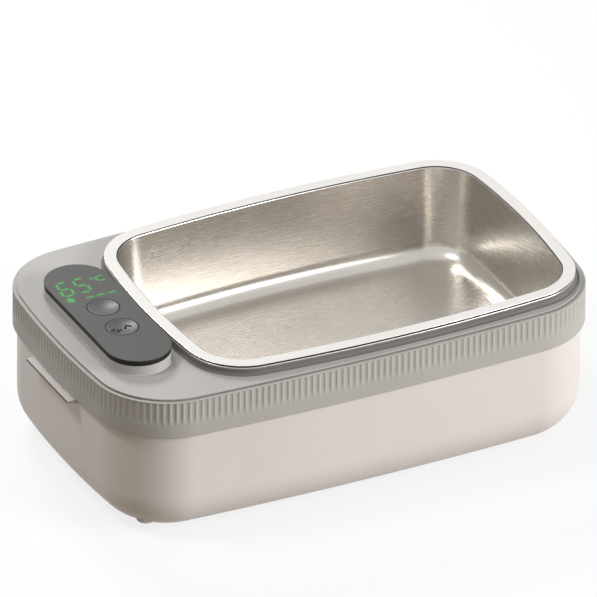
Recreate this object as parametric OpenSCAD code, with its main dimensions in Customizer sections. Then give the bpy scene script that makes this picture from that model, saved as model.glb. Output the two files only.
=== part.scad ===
// Electric lunch box with a lift-out steel tray, millimetres.
// The long side runs along X, the controls are at the -X end, the front is -Y and the feet stand on z = 0.

/* [Case] */
// Length over the ribbed band, crest to crest
body_l = 260; // [250:1:280]
// Width over the ribbed band, crest to crest
body_w = 160.6; // [152:0.2:176]
// Radius of the body's corners in plan
corner_r = 38; // [35:0.5:41]
// How far the long sides bow outwards
bow_long = 4.6; // [3.6:0.1:6]
// How far the short sides bow outwards
bow_short = 6.6; // [5:0.1:8]
// Wall of the base shell
shell_wall = 2.6; // [2.2:0.1:3]
// Radius between the base shell's walls and its floor
bottom_fillet = 22; // [18:0.5:24]
// Step from the band in to the base shell
band_step = 2.2; // [1.6:0.1:2.4]
// Height of the seam between base shell and collar
seam_z = 57.6; // [57.2:0.2:62]
// Height of the ribbed band
band_h = 19.6; // [18:0.2:21]
// Wall of the collar's band
band_wall = 3; // [2.6:0.1:3.2]
// How far the deck stands above the band
deck_rise = 1.2; // [0.6:0.1:1.6]
// Distance from the band's face in to the deck's edge
deck_edge = 1.8; // [1.4:0.1:2.2]
// Thickness of the deck
deck_t = 2.4; // [2:0.1:2.8]
// Height that the tongue of the base shell reaches into the collar
tongue_h = 5; // [3:0.5:7]
// Length of each catch ledge
ledge_l = 45; // [30:1:60]
// Reach of each catch ledge beyond the band
ledge_reach = 4; // [3:0.1:5]
// Thickness of each catch ledge
ledge_t = 1.4; // [1.2:0.1:2]
// Height of a foot that shows below the shell
foot_rise = 0.8; // [0.5:0.1:1.4]
// Radius of a foot
foot_r = 8; // [6:0.5:9]

/* [Tray and well] */
// Length of the control bay, from the body's end to the tray's rim
bay_l = 47.4; // [46.8:0.2:50]
// Width of the deck beyond the rim at the other end
deck_end = 4.6; // [4.4:0.1:6]
// Width of the deck beside the rim at the front and back
deck_side = 6.4; // [6:0.1:8]
// Radius of the rim's corners in plan
rim_corner_r = 29.4; // [27:0.2:31]
// How far the rim's long sides bow outwards
rim_bow_long = 6.6; // [5:0.1:7]
// How far the rim's short sides bow outwards
rim_bow_short = 7; // [5.6:0.1:8]
// Height of the rim's top above the deck
rim_rise = 5.1; // [4.8:0.1:6]
// Width of the rim's flat, up to the roll into the tray
rim_flat = 5.6; // [5.4:0.1:7]
// Depth of the tray
tray_depth = 47.5; // [40:0.5:49]
// Sheet of the tray
tray_sheet = 0.6; // [0.5:0.1:0.8]
// How far the tray's wall leans in over its height
tray_draft = 3; // [1:0.2:5]
// Radius between the tray's wall and floor
tray_fillet = 9; // [6:0.5:12]
// Sheet of the well
well_sheet = 0.8; // [0.6:0.1:1]
// Width of the well's flange, up to the roll into the well
well_flange = 3.6; // [3.4:0.1:4]
// Thickness of the seal under the rim
seal_t = 0.7; // [0.5:0.1:1]

/* [Controls] */
// Radius of the panel's round ends, half its width
panel_r = 16.2; // [15.4:0.1:16.8]
// Length of the panel
panel_l = 97.5; // [92:0.5:102]
// Distance from the body's end to the panel
panel_margin = 12.2; // [11.6:0.1:13]
// Height of the plinth above the deck
plinth_rise = 5.1; // [4.4:0.1:5.8]
// Height of the black seal round the panel
panel_seal_h = 2.4; // [2:0.1:2.8]
// Thickness of the panel's edge
panel_edge_t = 0.3; // [0.2:0.05:0.5]
// Thickness of the printed face on the panel
overlay_t = 0.3; // [0.2:0.05:0.5]
// Radius of a button
button_r = 7.7; // [6.5:0.1:8]
// Distance between the buttons
button_pitch = 20.4; // [20:0.1:21]
// Depth of the dish in a button's face
dish_depth = 1.3; // [0.8:0.1:1.6]
// Distance from the panel's back end to the display
display_end = 11.7; // [11:0.1:13]
// Travel of a button
button_travel = 0.6; // [0.4:0.05:0.7]

/* [Power] */
// Radius of a cell
cell_r = 9.1; // [8.8:0.05:9.2]
// Length of a cell
cell_l = 65; // [60:0.5:66]
// Columns of cells
cell_cols = 2; // [1:1:2]
// Rows of cells
cell_rows = 3; // [1:1:3]
// Thickness of the heater film
heater_t = 1.2; // [0.8:0.1:2]
// Thickness of the felt under the heater
felt_t = 4; // [2:0.5:5]
// Thickness of the clamp plate
clamp_t = 1; // [0.8:0.1:1.5]
// Thickness of the circuit boards
board_t = 1.6; // [1:0.1:2]

/* [Fasteners] */
// Radius of a case screw's thread
screw_r = 1.45; // [1.25:0.05:1.6]
// Length of a case screw below its head
screw_l = 14; // [12:0.5:16]
// Radius of a case screw's head
head_r = 2.6; // [2.4:0.1:2.8]
// Height of a case screw's head
head_h = 1.8; // [1.4:0.1:2.2]

/* [Hidden] */
$fn = 48;

// Steps along a half short side, a corner and a half long side of an outline
short_steps = 4;
corner_steps = 9;
long_steps = 5;
fillet_steps = 6;

// Fit between parts, fit round a thread, and how far a cut runs past a face
fit_gap = 0.2;
thread_gap = 0.05;
past = 1;
// Small bevels on edges, and the flared feet of the collar's lip and of the panel's plinth
ease = 0.3;
flare = 1.6;
flare_h = 1.2;
plinth_flare = 0.8;

// An outline: length, width, corner radius, bow of the long sides, bow of the short sides, x of its middle
rim_l = body_l - bay_l - deck_end;
rim_w = body_w - 2*deck_side;
rim_x = body_l/2 - deck_end - rim_l/2;
body_o = [body_l, body_w, corner_r, bow_long, bow_short, 0];
rim_o = [rim_l, rim_w, rim_corner_r, rim_bow_long, rim_bow_short, rim_x];

// Heights, from the table up
shell_z = foot_rise;
floor_z = shell_z + shell_wall;
band_top_z = seam_z + band_h;
deck_z = band_top_z + deck_rise;
deck_under_z = deck_z - deck_t;
rim_top_z = deck_z + rim_rise;
rim_under_z = rim_top_z - tray_sheet;
flange_z = rim_under_z - seal_t;
lip_z = flange_z - well_sheet;
tray_floor_z = rim_top_z - tray_depth;
pan_gap = 0.2;
well_floor_z = tray_floor_z - tray_sheet - pan_gap;
heater_z = well_floor_z - well_sheet - heater_t;
felt_z = heater_z - felt_t;
clamp_z = felt_z - clamp_t;

// Collar and the tongue of the base shell
band_round = 0.8;
lip_t = 3.3;
lip_hook = 2;
lip_foot_z = deck_under_z - 10.6;
root = 0.8;
rabbet_h = 0.9;
tongue_in = band_wall + fit_gap;
tongue_t = 1.6;
tongue_slope_h = 2;
tongue_top_z = seam_z + tongue_h;
shell_in = band_step + shell_wall;
snap_l = 14;
snap_t = 0.6;
snap_reach = 0.6;
snap_h = 1.2;
snap_z = seam_z + 3;
snap_gap = 0.15;

// Rolls where the tray's and the well's flanges turn down into their walls
tray_roll = 1;
well_roll = 1.2;
well_draft = tray_draft + 0.2;
wrap_h = 24;
wrap_t = 2.5;
wrap_z = lip_foot_z - 1.5 - wrap_h;
wrap_in = well_flange + well_roll - well_sheet + 1.1;
// How far the layers under the well lie inside the rim
heater_in = 24;
clamp_in = 23;
felt_in = 22;

// Control panel and board
panel_x = -body_l/2 + panel_margin + panel_r;
plinth_z = deck_z + plinth_rise;
panel_z = plinth_z + panel_seal_h;
panel_top_z = panel_z + panel_edge_t + overlay_t;
tenon_in = 2.3;
tenon_z = plinth_z + 0.4;
pocket_in = 2.6;
button_lip = 0.4;
button_gap = 0.4;
button_flange_r = button_r + 1.5;
button_flange_h = 1;
button_flange_z = plinth_z - 0.2 - button_flange_h;
board_top_z = deck_z - 3.8;
board_z = board_top_z - board_t;
board_w = 35.4;
board_l = 95;
board_x = panel_x - 0.6 - board_w/2;
board_y = -0.4 - board_l/2;
boss_in = 2.7;
board_boss_r = 2.2;
board_screw_r = 1;
board_head_r = 1.9;
board_head_h = 1.3;
board_thread_z = deck_z - 0.9;
plunger_h = 0.8;
plunger_r = 1.7;
switch_w = 6;
stem_r = 2;
stem_h = 2;
switch_top_z = button_flange_z - stem_h - button_travel - 0.2;
display_w = 25;
display_l = 22;
display_y = panel_l/2 - display_end - display_l/2;
window_in = 0.6;
cap_r = 3;
cap_h = 5;
buzzer_r = 4.5;
buzzer_h = 4;
buzzer_y = 20;

// Middle between the buttons, which lie in front of the display
button_x = panel_x + 0.4;
button_y = display_y - display_l/2 - button_gap - button_flange_r - button_pitch/2;

// Plugs of the leads under the board: heater, cells, charger, sensor
plug = [6, 7, 4];
plug_front_y = board_y + 13.9;
plug_back_y = board_y + board_l - 5.1;
plug_at = [
  [panel_x + 4.5, plug_front_y], [panel_x - 7.5, plug_front_y],
  [panel_x - 6, plug_back_y], [panel_x + 12.5, plug_front_y]
];
plug_z = board_z - plug.z;
pin_half = 1.5;
power_lead_r = 0.8;
thin_lead_r = 0.55;
// Corner beside the cells and the well where the leads climb
climb_x = -body_l/2 + 46.4;

// Cells
cell_pitch = 2*cell_r + 1;
cell_x = -body_l/2 + band_step + bottom_fillet - 4.7;
cell_z = floor_z + cell_r + 4.5;
cell_top_z = cell_z + (cell_rows - 1)*cell_pitch;
holder_t = 7;
holder_wall = 1.2;
holder_gap = 0.6;
holder_end = 1;
holder_top_z = cell_top_z + cell_r + holder_wall;
holder_right_x = cell_x + (cell_cols - 1)*cell_pitch + cell_r + holder_wall;
strip_t = 0.4;
strip_w = 8;
protect_z = cell_top_z + cell_r + 0.3;
protect_l = 40;
protect_margin = 4;
chip = [8, 12, 1.2];

// Power inlet and charge board
inlet_x = -body_l/2 + 44;
inlet_z = 27;
inlet_w = 9;
inlet_h = 3.4;
inlet_l = 8.5;
inlet_t = 0.4;
inlet_tongue = [6.6, 6.5, 0.7];
charge_w = 24;
charge_l = 25;
charge_z = inlet_z - inlet_h/2 - board_t;
charge_chip = [8, 8, 2];
post_r = 3;
post_in = 4;

// Fastener places
thread_r = screw_r + thread_gap;
clear_r = screw_r + fit_gap;
sink_r = head_r + fit_gap;
corner_screw = [-body_l/2 + 22, body_w/2 - 24.3];
corner_boss_r = 4.6;
corner_post_r = 4.2;
corner_joint_z = tongue_top_z - 0.5;
corner_bite = 5.5;
corner_head_z = tongue_top_z + corner_bite - screw_l;
mid_screw = [46, 22];
mid_boss_r = 4.4;
standoff_r = 3;
standoff_h = 4;
standoff_z = clamp_z - standoff_h;
mid_bite = 3.5;
mid_head_z = standoff_z + mid_bite - screw_l;
drive_r = 1.1;
stud_at = [62, 38];
stud_r = 2;
stud_z = clamp_z - standoff_h;
nut_r = 3.9;
nut_h = 3.2;
layer_gap = 0.3;
foot_in = [42, 38.3];
foot_at = [body_l/2 - foot_in.x, body_w/2 - foot_in.y];
foot_sink = 1.2;
foot_bevel = 0.4;
sensor_r = 4;
sensor_cap_h = 1.8;
sensor_tip_r = 2.5;
sensor_tip_z = clamp_z - 1.2;
fuse = [14, 6, 4.2];
fuse_at = [-23, 20];
fuse_wire = [20, 1.2, 1.2];

shell_white = "#e6dfda";
collar_grey = "#b3b1ae";
steel = "#d8d8d6";
panel_grey = "#777775";
seal_black = "#1d1c1b";
board_green = "#2f6b45";
felt_grey = "#cfc9bd";
button_grey = "#8b8b89";
chip_black = "#2b2b2d";
cell_blue = "#4a78a8";
copper_red = "#a8322a";
brass_tone = "#c8a860";

// Radius of the arc that bows out by bow over a half length
function arc_r(half, bow) = (half*half + bow*bow)/(2*bow);

// Front edge of the charge board and mouth of the inlet, a little inside the back wall, which bows
charge_y = body_w/2 - shell_in - 4.6 - charge_l;
back_r = arc_r(body_l/2, bow_long);
inlet_mouth = body_w/2 - back_r + sqrt(back_r*back_r - inlet_x*inlet_x) - band_step - 0.8;

// Centre of an outline's corner arc, where it touches both side arcs
function corner_mid(o) =
  let (
    rs = arc_r(o[1]/2, o[4]),
    rl = arc_r(o[0]/2, o[3]),
    cs = [o[0]/2 - rs, 0],
    cl = [0, o[1]/2 - rl],
    d = norm(cs - cl),
    u = (cs - cl)/d,
    t = ((rl - o[2])^2 - (rs - o[2])^2 + d^2)/(2*d)
  )
  cl + t*u + sqrt((rl - o[2])^2 - t^2)*[u.y, -u.x];

// A quarter of an outline drawn in by d, from +X round to +Y
function quarter(o, d) =
  let (
    rs = arc_r(o[1]/2, o[4]),
    rl = arc_r(o[0]/2, o[3]),
    cs = [o[0]/2 - rs, 0],
    cl = [0, o[1]/2 - rl],
    c = corner_mid(o),
    a1 = atan2(c.y - cs.y, c.x - cs.x),
    a2 = atan2(c.y - cl.y, c.x - cl.x)
  )
  concat(
    [for (i = [0:short_steps - 1]) let (a = a1*i/short_steps) cs + (rs - d)*[cos(a), sin(a)]],
    [for (i = [0:corner_steps - 1])
      let (a = a1 + (a2 - a1)*i/corner_steps) c + (o[2] - d)*[cos(a), sin(a)]],
    [for (i = [0:long_steps]) let (a = a2 + (90 - a2)*i/long_steps) cl + (rl - d)*[cos(a), sin(a)]]
  );

// The whole outline drawn in by d, anticlockwise from +X
function outline(o, d = 0) =
  let (q = quarter(o, d), n = len(q))
  [for (p = concat(
    q,
    [for (i = [n - 2:-1:0]) [-q[i].x, q[i].y]],
    [for (i = [1:n - 1]) [-q[i].x, -q[i].y]],
    [for (i = [n - 2:-1:1]) [q[i].x, -q[i].y]]
  )) p + [o[5], 0]];

// An outline as a ring of points at height z
function ring(o, d, z) = [for (p = outline(o, d)) [p.x, p.y, z]];

// Rings of one outline from a list of [inset, height]
function rings(o, profile) = [for (p = profile) ring(o, p[0], p[1])];

// Quarter round between a wall and a floor: inset and height, from the wall down to the floor
function bottom_round(in, z, r) =
  [for (i = [0:fillet_steps]) let (a = 90*i/fillet_steps) [in + r*(1 - cos(a)), z + r*(1 - sin(a))]];

// Quarter round from a flange down into a wall
function top_round(in, z, r) =
  [for (i = [0:3]) let (a = 30*i) [in + r*sin(a), z - r + r*cos(a)]];

// Inside profile of a pan: roll, leaning wall, bottom round
function pan_profile(in, top, roll, draft, r, floor) =
  concat(top_round(in, top, roll), bottom_round(in + roll + draft, floor, r));

// Outside profile of the same pan, one sheet thickness away
function pan_back(in, top, roll, draft, r, floor, sheet) =
  concat(top_round(in, top - sheet, roll - sheet),
         bottom_round(in + roll + draft - sheet, floor - sheet, r + sheet));

function reverse(v) = [for (i = [len(v) - 1:-1:0]) v[i]];

// Skin between rings of equal count: closed on itself, or capped at its first and last ring
module loft(rs, closed = false) {
  n = len(rs[0]);
  m = len(rs);
  last = closed ? m - 1 : m - 2;
  walls = [for (i = [0:last], j = [0:n - 1])
    let (k = (i + 1)%m, l = (j + 1)%n)
    each [[i*n + j, k*n + j, k*n + l], [i*n + j, k*n + l, i*n + l]]];
  caps = closed ? [] : [[for (j = [0:n - 1]) j], [for (j = [n - 1:-1:0]) (m - 1)*n + j]];
  polyhedron([for (r = rs) each r], concat(walls, caps));
}

// Flat plate of an outline
module plate(o, d, z0, z1) {
  translate([0, 0, z0]) linear_extrude(z1 - z0) polygon(outline(o, d));
}

// Flat ring of an outline, from inset d0 to inset d1
module band(o, d0, d1, z0, z1) {
  translate([0, 0, z0]) linear_extrude(z1 - z0) difference() {
    polygon(outline(o, d0));
    polygon(outline(o, d1));
  }
}

// X of the rim's edge on the panel's side at a given y
function rim_left(y) =
  let (r = arc_r(rim_w/2, rim_bow_short)) rim_x - rim_l/2 + r - sqrt(r*r - y*y);

// Outline of the control panel drawn in by d: two round ends, long axis along Y
function panel_loop(d) =
  let (r = panel_r - d, h = panel_l/2 - panel_r)
  concat(
    [for (i = [0:15]) let (a = 12*i) [panel_x + r*cos(a), h + r*sin(a)]],
    [for (i = [0:15]) let (a = 180 + 12*i) [panel_x + r*cos(a), -h + r*sin(a)]]
  );

module panel_plate(d, z0, z1) {
  translate([0, 0, z0]) linear_extrude(z1 - z0) polygon(panel_loop(d));
}

// Children at both button places
module at_buttons() {
  for (s = [-1, 1]) translate([button_x, button_y + s*button_pitch/2, 0]) children();
}

// Children at the four corners of a rectangle round a middle
module at_four(mid, off) {
  for (sx = [-1, 1], sy = [-1, 1]) translate([mid.x + sx*off.x, mid.y + sy*off.y, 0]) children();
}

module rod(r, z0, z1) {
  translate([0, 0, z0]) cylinder(r = r, h = z1 - z0);
}

// Profiles of the base shell, inside from the tongue down and outside from the floor up
shell_inside = concat(
  [[tongue_in + tongue_t, tongue_top_z], [shell_in, seam_z - tongue_slope_h]],
  bottom_round(shell_in, floor_z, bottom_fillet - shell_wall)
);
shell_outside = concat(
  reverse(bottom_round(band_step, shell_z, bottom_fillet)),
  [[band_step, seam_z], [tongue_in, seam_z], [tongue_in, tongue_top_z]]
);

// Solid that lies halfway through the shell's wall, which trims what stands on the floor
module shell_core() {
  half = shell_wall/2;
  loft(rings(body_o, concat(
    reverse(bottom_round(band_step + half, shell_z + half, bottom_fillet - half)),
    [[band_step + half, tongue_top_z]])));
}

// Snap ridges on the tongue at the +X end and both sides, grown for the collar's pockets
module snap_blocks(grow) {
  reach = snap_reach + grow;
  y = body_w/2 - tongue_in;
  translate([body_l/2 - tongue_in - snap_t, -snap_l/2 - grow, snap_z - grow])
    cube([snap_t + reach, snap_l + 2*grow, snap_h + 2*grow]);
  for (s = [-1, 1]) translate([-snap_l/2 - grow, s > 0 ? y - snap_t : -y - reach, snap_z - grow])
    cube([snap_l + 2*grow, snap_t + reach, snap_h + 2*grow]);
}

module catch_ledge() {
  out = body_l/2 + ledge_reach;
  in = body_l/2 - shell_in + root;
  top = seam_z - fit_gap;
  low = top - ledge_t;
  translate([0, ledge_l/2, 0]) rotate([90, 0, 0]) linear_extrude(ledge_l)
    polygon([
      [in, top], [out - ease, top], [out, top - ease], [out, low + ease], [out - ease, low], [in, low]
    ]);
}

// Children at the two corner screws beside the controls
module at_corners() {
  for (s = [-1, 1]) translate([corner_screw.x, s*corner_screw.y, 0]) children();
}

// Hole up through a boss for a screw whose head bears at z
module screw_way(z, top) {
  rod(sink_r, -past, z);
  rod(clear_r, z - past, top + past);
}

module base_shell() {
  color(shell_white) difference() {
    union() {
      loft(rings(body_o, concat(shell_outside, shell_inside)));
      intersection() {
        shell_core();
        union() {
          at_corners() rod(corner_boss_r, 0, corner_joint_z);
          at_four([rim_x, 0], mid_screw) rod(mid_boss_r, 0, standoff_z);
          for (s = [-1, 1]) translate([inlet_x + s*(charge_w/2 - post_in), charge_y + post_in, 0])
            rod(post_r, 0, charge_z);
        }
      }
      for (s = [0, 1]) mirror([s, 0, 0]) catch_ledge();
      snap_blocks(0);
    }
    at_corners() screw_way(corner_head_z, corner_joint_z);
    at_four([rim_x, 0], mid_screw) screw_way(mid_head_z, standoff_z);
    at_four([0, 0], foot_at) rod(foot_r + fit_gap, -past, shell_z + foot_sink);
    translate([inlet_x - inlet_w/2 - ease, charge_y + charge_l, inlet_z - inlet_h/2 - ease])
      cube([inlet_w + 2*ease, shell_wall + band_step + 7, inlet_h + 2*ease]);
  }
}

// Section of the collar: up the band, over the deck, down the lip and back under the deck
collar_profile = [
  ring(body_o, ease, seam_z),
  ring(body_o, 0, seam_z + ease),
  ring(body_o, 0, band_top_z - band_round),
  ring(body_o, band_round*0.3, band_top_z - band_round*0.3),
  ring(body_o, band_round, band_top_z),
  ring(body_o, deck_edge, band_top_z),
  ring(body_o, deck_edge, deck_z - ease),
  ring(body_o, deck_edge + ease, deck_z),
  ring(rim_o, -flare, deck_z),
  ring(rim_o, -flare*0.4, deck_z + flare_h*0.3),
  ring(rim_o, 0, deck_z + flare_h),
  ring(rim_o, 0.1, lip_z),
  ring(rim_o, lip_t, lip_z),
  ring(rim_o, lip_t, lip_foot_z),
  ring(rim_o, lip_t - lip_hook, lip_foot_z),
  ring(rim_o, lip_t - lip_hook, deck_under_z),
  ring(body_o, band_wall, deck_under_z),
  ring(body_o, band_wall, seam_z + rabbet_h),
  ring(body_o, band_step, seam_z + rabbet_h),
  ring(body_o, band_step, seam_z)
];

// Plinth that carries the panel, flared at its foot
module plinth() {
  profile = [
    [-plinth_flare, deck_z - past], [-plinth_flare, deck_z],
    [-plinth_flare*0.3, deck_z + plinth_flare*0.3], [0, deck_z + plinth_flare], [ease, plinth_z]
  ];
  loft([for (p = profile) [for (q = panel_loop(p[0])) [q.x, q.y, p[1]]]]);
}

// Opening under the panel for the display and the keys
module panel_pocket() {
  panel_plate(pocket_in, deck_under_z - past, plinth_z + past);
}

module collar() {
  color(collar_grey) difference() {
    union() {
      loft(collar_profile, closed = true);
      plinth();
      at_corners() rod(corner_post_r, corner_joint_z, deck_under_z + root);
      board_holes() rod(board_boss_r, board_top_z, deck_under_z + root);
    }
    panel_pocket();
    at_corners() rod(thread_r, corner_joint_z - past, corner_head_z + screw_l + 0.5);
    board_holes() rod(board_screw_r + thread_gap, board_top_z - past, board_thread_z);
    snap_blocks(snap_gap);
  }
}

// Children at the control board's screw places
module board_holes() {
  mid = [board_x + board_w/2, board_y + board_l/2];
  at_four(mid, [board_w/2 - boss_in, board_l/2 - boss_in - 1]) children();
}

module case_seal() {
  color(seal_black)
    band(body_o, band_step + thread_gap, band_wall + thread_gap, seam_z, seam_z + rabbet_h);
}

module heating_well() {
  out = pan_back(well_flange, flange_z, well_roll, well_draft, tray_fillet, well_floor_z, well_sheet);
  in = pan_profile(well_flange, flange_z, well_roll, well_draft, tray_fillet, well_floor_z);
  edge = [[ease + 0.1, lip_z], [0.1, lip_z + well_sheet/2], [ease + 0.1, flange_z]];
  color(steel) union() {
    loft(rings(rim_o, concat(reverse(out), edge, in)));
    at_four([rim_x, 0], stud_at) rod(stud_r, stud_z, well_floor_z - well_sheet/2);
  }
}

module tray_seal() {
  color(seal_black) band(rim_o, 3*ease, lip_t, flange_z, rim_under_z);
}

module food_tray() {
  out = pan_back(rim_flat, rim_top_z, tray_roll, tray_draft, tray_fillet, tray_floor_z, tray_sheet);
  in = pan_profile(rim_flat, rim_top_z, tray_roll, tray_draft, tray_fillet, tray_floor_z);
  edge = [[ease, rim_under_z], [0, rim_under_z + tray_sheet/2], [ease, rim_top_z]];
  color(steel) loft(rings(rim_o, concat(reverse(out), edge, in)));
}

module well_wrap() {
  color(felt_grey) band(rim_o, wrap_in - wrap_t, wrap_in, wrap_z, wrap_z + wrap_h);
}

// Layer under the well with holes for the studs and the sensor
module heater_layer(d, z0, z1) {
  difference() {
    plate(rim_o, d, z0, z1);
    at_four([rim_x, 0], stud_at) rod(stud_r + layer_gap, z0 - past, z1 + past);
    translate([rim_x, 0, 0]) rod(sensor_r + layer_gap, z0 - past, z1 + past);
  }
}

module heater_film() {
  color("#b5672c") heater_layer(heater_in, heater_z, heater_z + heater_t);
}

module felt_pad() {
  color(felt_grey) heater_layer(felt_in, felt_z, felt_z + felt_t);
}

module clamp_plate() {
  color(steel) heater_layer(clamp_in, clamp_z, clamp_z + clamp_t);
}

module clamp_nuts() {
  color(brass_tone) at_four([rim_x, 0], stud_at) difference() {
    translate([0, 0, clamp_z - nut_h]) cylinder(r = nut_r, h = nut_h, $fn = 6);
    rod(stud_r + thread_gap, clamp_z - nut_h - past, clamp_z + past);
  }
}

module standoffs() {
  color(steel) at_four([rim_x, 0], mid_screw) difference() {
    rod(standoff_r, standoff_z, clamp_z);
    rod(thread_r, standoff_z - past, clamp_z + past);
  }
}

module thermistor() {
  color("#4b4f55") translate([rim_x, 0, 0]) {
    rod(sensor_r, heater_z - sensor_cap_h, well_floor_z - well_sheet);
    rod(sensor_tip_r, sensor_tip_z, heater_z - sensor_cap_h);
  }
}

module thermal_fuse() {
  color("#e8e4da") translate([rim_x + fuse_at.x, fuse_at.y, clamp_z - fuse.z/2]) {
    cube(fuse, center = true);
    cube(fuse_wire, center = true);
  }
}

module control_panel() {
  window = [display_w - 2*window_in, display_l - 2*window_in];
  color(panel_grey) difference() {
    union() {
      panel_plate(0, panel_z, panel_z + panel_edge_t);
      panel_plate(tenon_in, tenon_z, panel_z);
    }
    at_buttons() rod(button_r + button_gap, tenon_z - past, panel_top_z);
    translate([panel_x - window.x/2, display_y - window.y/2, tenon_z - past])
      cube([window.x, window.y, panel_top_z - tenon_z + past]);
  }
}

module panel_seal() {
  color(seal_black) translate([0, 0, plinth_z]) linear_extrude(panel_seal_h) difference() {
    polygon(panel_loop(fit_gap));
    polygon(panel_loop(tenon_in - fit_gap));
  }
}

module panel_overlay() {
  color(panel_grey) difference() {
    panel_plate(thread_gap, panel_z + panel_edge_t, panel_top_z);
    at_buttons() rod(button_r + button_gap, panel_z, panel_top_z + past);
  }
}

// One button: dished face, guide, flange that keeps it in, and the stem that meets the key switch
module button() {
  edge_z = panel_top_z + ease/3;
  dish_r = button_r - button_lip;
  r = (dish_r^2 + dish_depth^2)/(2*dish_depth);
  half = asin(dish_r/r);
  dish = [for (i = [0:8]) let (a = half*(1 - i/8)) [r*sin(a), edge_z - dish_depth + r - r*cos(a)]];
  rotate_extrude() polygon(concat(
    [[0, button_flange_z - stem_h], [stem_r, button_flange_z - stem_h], [stem_r, button_flange_z],
     [button_flange_r, button_flange_z], [button_flange_r, button_flange_z + button_flange_h],
     [button_r, button_flange_z + button_flange_h], [button_r, edge_z]],
    dish));
}

module power_button() {
  color(button_grey) translate([button_x, button_y - button_pitch/2, 0]) button();
}

module mode_button() {
  color(button_grey) translate([button_x, button_y + button_pitch/2, 0]) button();
}

module control_board() {
  color(board_green) difference() {
    translate([board_x, board_y, board_z]) cube([board_w, board_l, board_t]);
    board_holes() rod(board_screw_r + fit_gap, board_z - past, board_top_z + past);
  }
}

// Box of a given size that hangs under the board, its middle at x, y from the panel's middle line
module under_board(x, y, size) {
  translate([panel_x + x - size.x/2, y - size.y/2, board_z - size.z]) cube(size);
}

// Parts under the board: controller, transistors, coil, capacitors and the plugs of the leads
module board_parts() {
  color(chip_black) {
    under_board(-4, 17, [10, 10, 1.4]);
    for (y = [-9.5, 2.5]) under_board(-7.5, y, [9, 9, 4.4]);
    under_board(7.5, -8.5, [11, 11, 5]);
  }
  color("#3c5f92") for (y = [5, 35]) translate([panel_x + 9, y, 0]) rod(cap_r, board_z - cap_h, board_z);
  color("#efeae0") for (p = plug_at) under_board(p.x - panel_x, p.y, plug);
}

module key_switches() {
  body_top_z = switch_top_z - plunger_h;
  color(chip_black) at_buttons() {
    translate([-switch_w/2, -switch_w/2, board_top_z]) cube([switch_w, switch_w, body_top_z - board_top_z]);
    rod(plunger_r, body_top_z, switch_top_z);
  }
}

module display_block() {
  color("#141614") translate([panel_x - display_w/2, display_y - display_l/2, board_top_z])
    cube([display_w, display_l, tenon_z - 2*fit_gap - board_top_z]);
}

module buzzer() {
  color("#1a1a1a") translate([panel_x + 8.5, buzzer_y, 0]) difference() {
    rod(buzzer_r, board_z - buzzer_h, board_z);
    rod(buzzer_r/5, board_z - buzzer_h - past, board_z - buzzer_h/2);
  }
}

module board_screws() {
  color(steel) board_holes() {
    rod(board_screw_r, board_z, board_thread_z - fit_gap);
    rod(board_head_r, board_z - board_head_h, board_z);
  }
}

// Children at each cell's axis, laid along Y
module at_cells() {
  for (c = [0:cell_cols - 1], r = [0:cell_rows - 1])
    translate([cell_x + c*cell_pitch, 0, cell_z + r*cell_pitch]) rotate([90, 0, 0]) children();
}

module battery_cells() {
  color(cell_blue) at_cells() cylinder(r = cell_r, h = cell_l, center = true);
}

// Section of a cell holder: the shell's round at its lower outer corner, square elsewhere
function holder_section() =
  let (
    r = bottom_fillet - shell_wall - holder_gap,
    cx = cell_x - cell_r - holder_wall + 1.7 + r,
    cz = floor_z + holder_gap + r
  )
  concat(
    [for (i = [0:8]) let (a = 180 + 90*i/8) [cx + r*cos(a), cz + r*sin(a)]],
    [[cx + 2, floor_z], [holder_right_x, floor_z], [holder_right_x, holder_top_z],
     [cell_x - cell_r - holder_wall, holder_top_z]]
  );

module cell_holder() {
  color("#26282a") difference() {
    for (s = [-1, 1]) translate([0, s*(cell_l/2 - holder_end - holder_t/2) + holder_t/2, 0])
      rotate([90, 0, 0]) linear_extrude(holder_t) polygon(holder_section());
    at_cells() cylinder(r = cell_r + fit_gap, h = cell_l + 2*past, center = true);
  }
}

module cell_strips() {
  color(brass_tone) for (c = [0:cell_cols - 1], s = [-1, 1])
    translate([cell_x + c*cell_pitch, s*(cell_l/2 + strip_t/2), (cell_z + cell_top_z)/2])
      cube([strip_w, strip_t, cell_top_z - cell_z + strip_w], center = true);
}

module protection_board() {
  color(board_green) translate([cell_x - protect_margin, -protect_l/2, protect_z])
    cube([cell_pitch + 2*protect_margin, protect_l, board_t]);
  color(chip_black) translate([cell_x + cell_r/2, -chip.y/2, protect_z + board_t]) cube(chip);
}

module charge_board() {
  color(board_green) translate([inlet_x - charge_w/2, charge_y, charge_z])
    cube([charge_w, charge_l, board_t]);
  color(chip_black) translate([inlet_x - charge_chip.x/2, charge_y + charge_chip.y, charge_z + board_t])
    cube(charge_chip);
}

module power_inlet() {
  back = inlet_mouth - inlet_l;
  color(steel) difference() {
    translate([inlet_x - inlet_w/2, back, inlet_z - inlet_h/2]) cube([inlet_w, inlet_l, inlet_h]);
    translate([inlet_x - inlet_w/2 + inlet_t, back + 3*inlet_t, inlet_z - inlet_h/2 + inlet_t])
      cube([inlet_w - 2*inlet_t, inlet_l, inlet_h - 2*inlet_t]);
  }
  color(chip_black) translate([inlet_x - inlet_tongue.x/2, back + 2*inlet_t, inlet_z - inlet_tongue.z/2])
    cube(inlet_tongue);
}

// One pass of corner cutting on a route
function cut_corners(p) = concat(
  [p[0]],
  [for (i = [0:len(p) - 2]) each [0.75*p[i] + 0.25*p[i + 1], 0.25*p[i] + 0.75*p[i + 1]]],
  [p[len(p) - 1]]
);

// Direction of a route at a point
function heading(p, i) =
  let (v = p[min(i + 1, len(p) - 1)] - p[max(i - 1, 0)]) v/norm(v);

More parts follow.
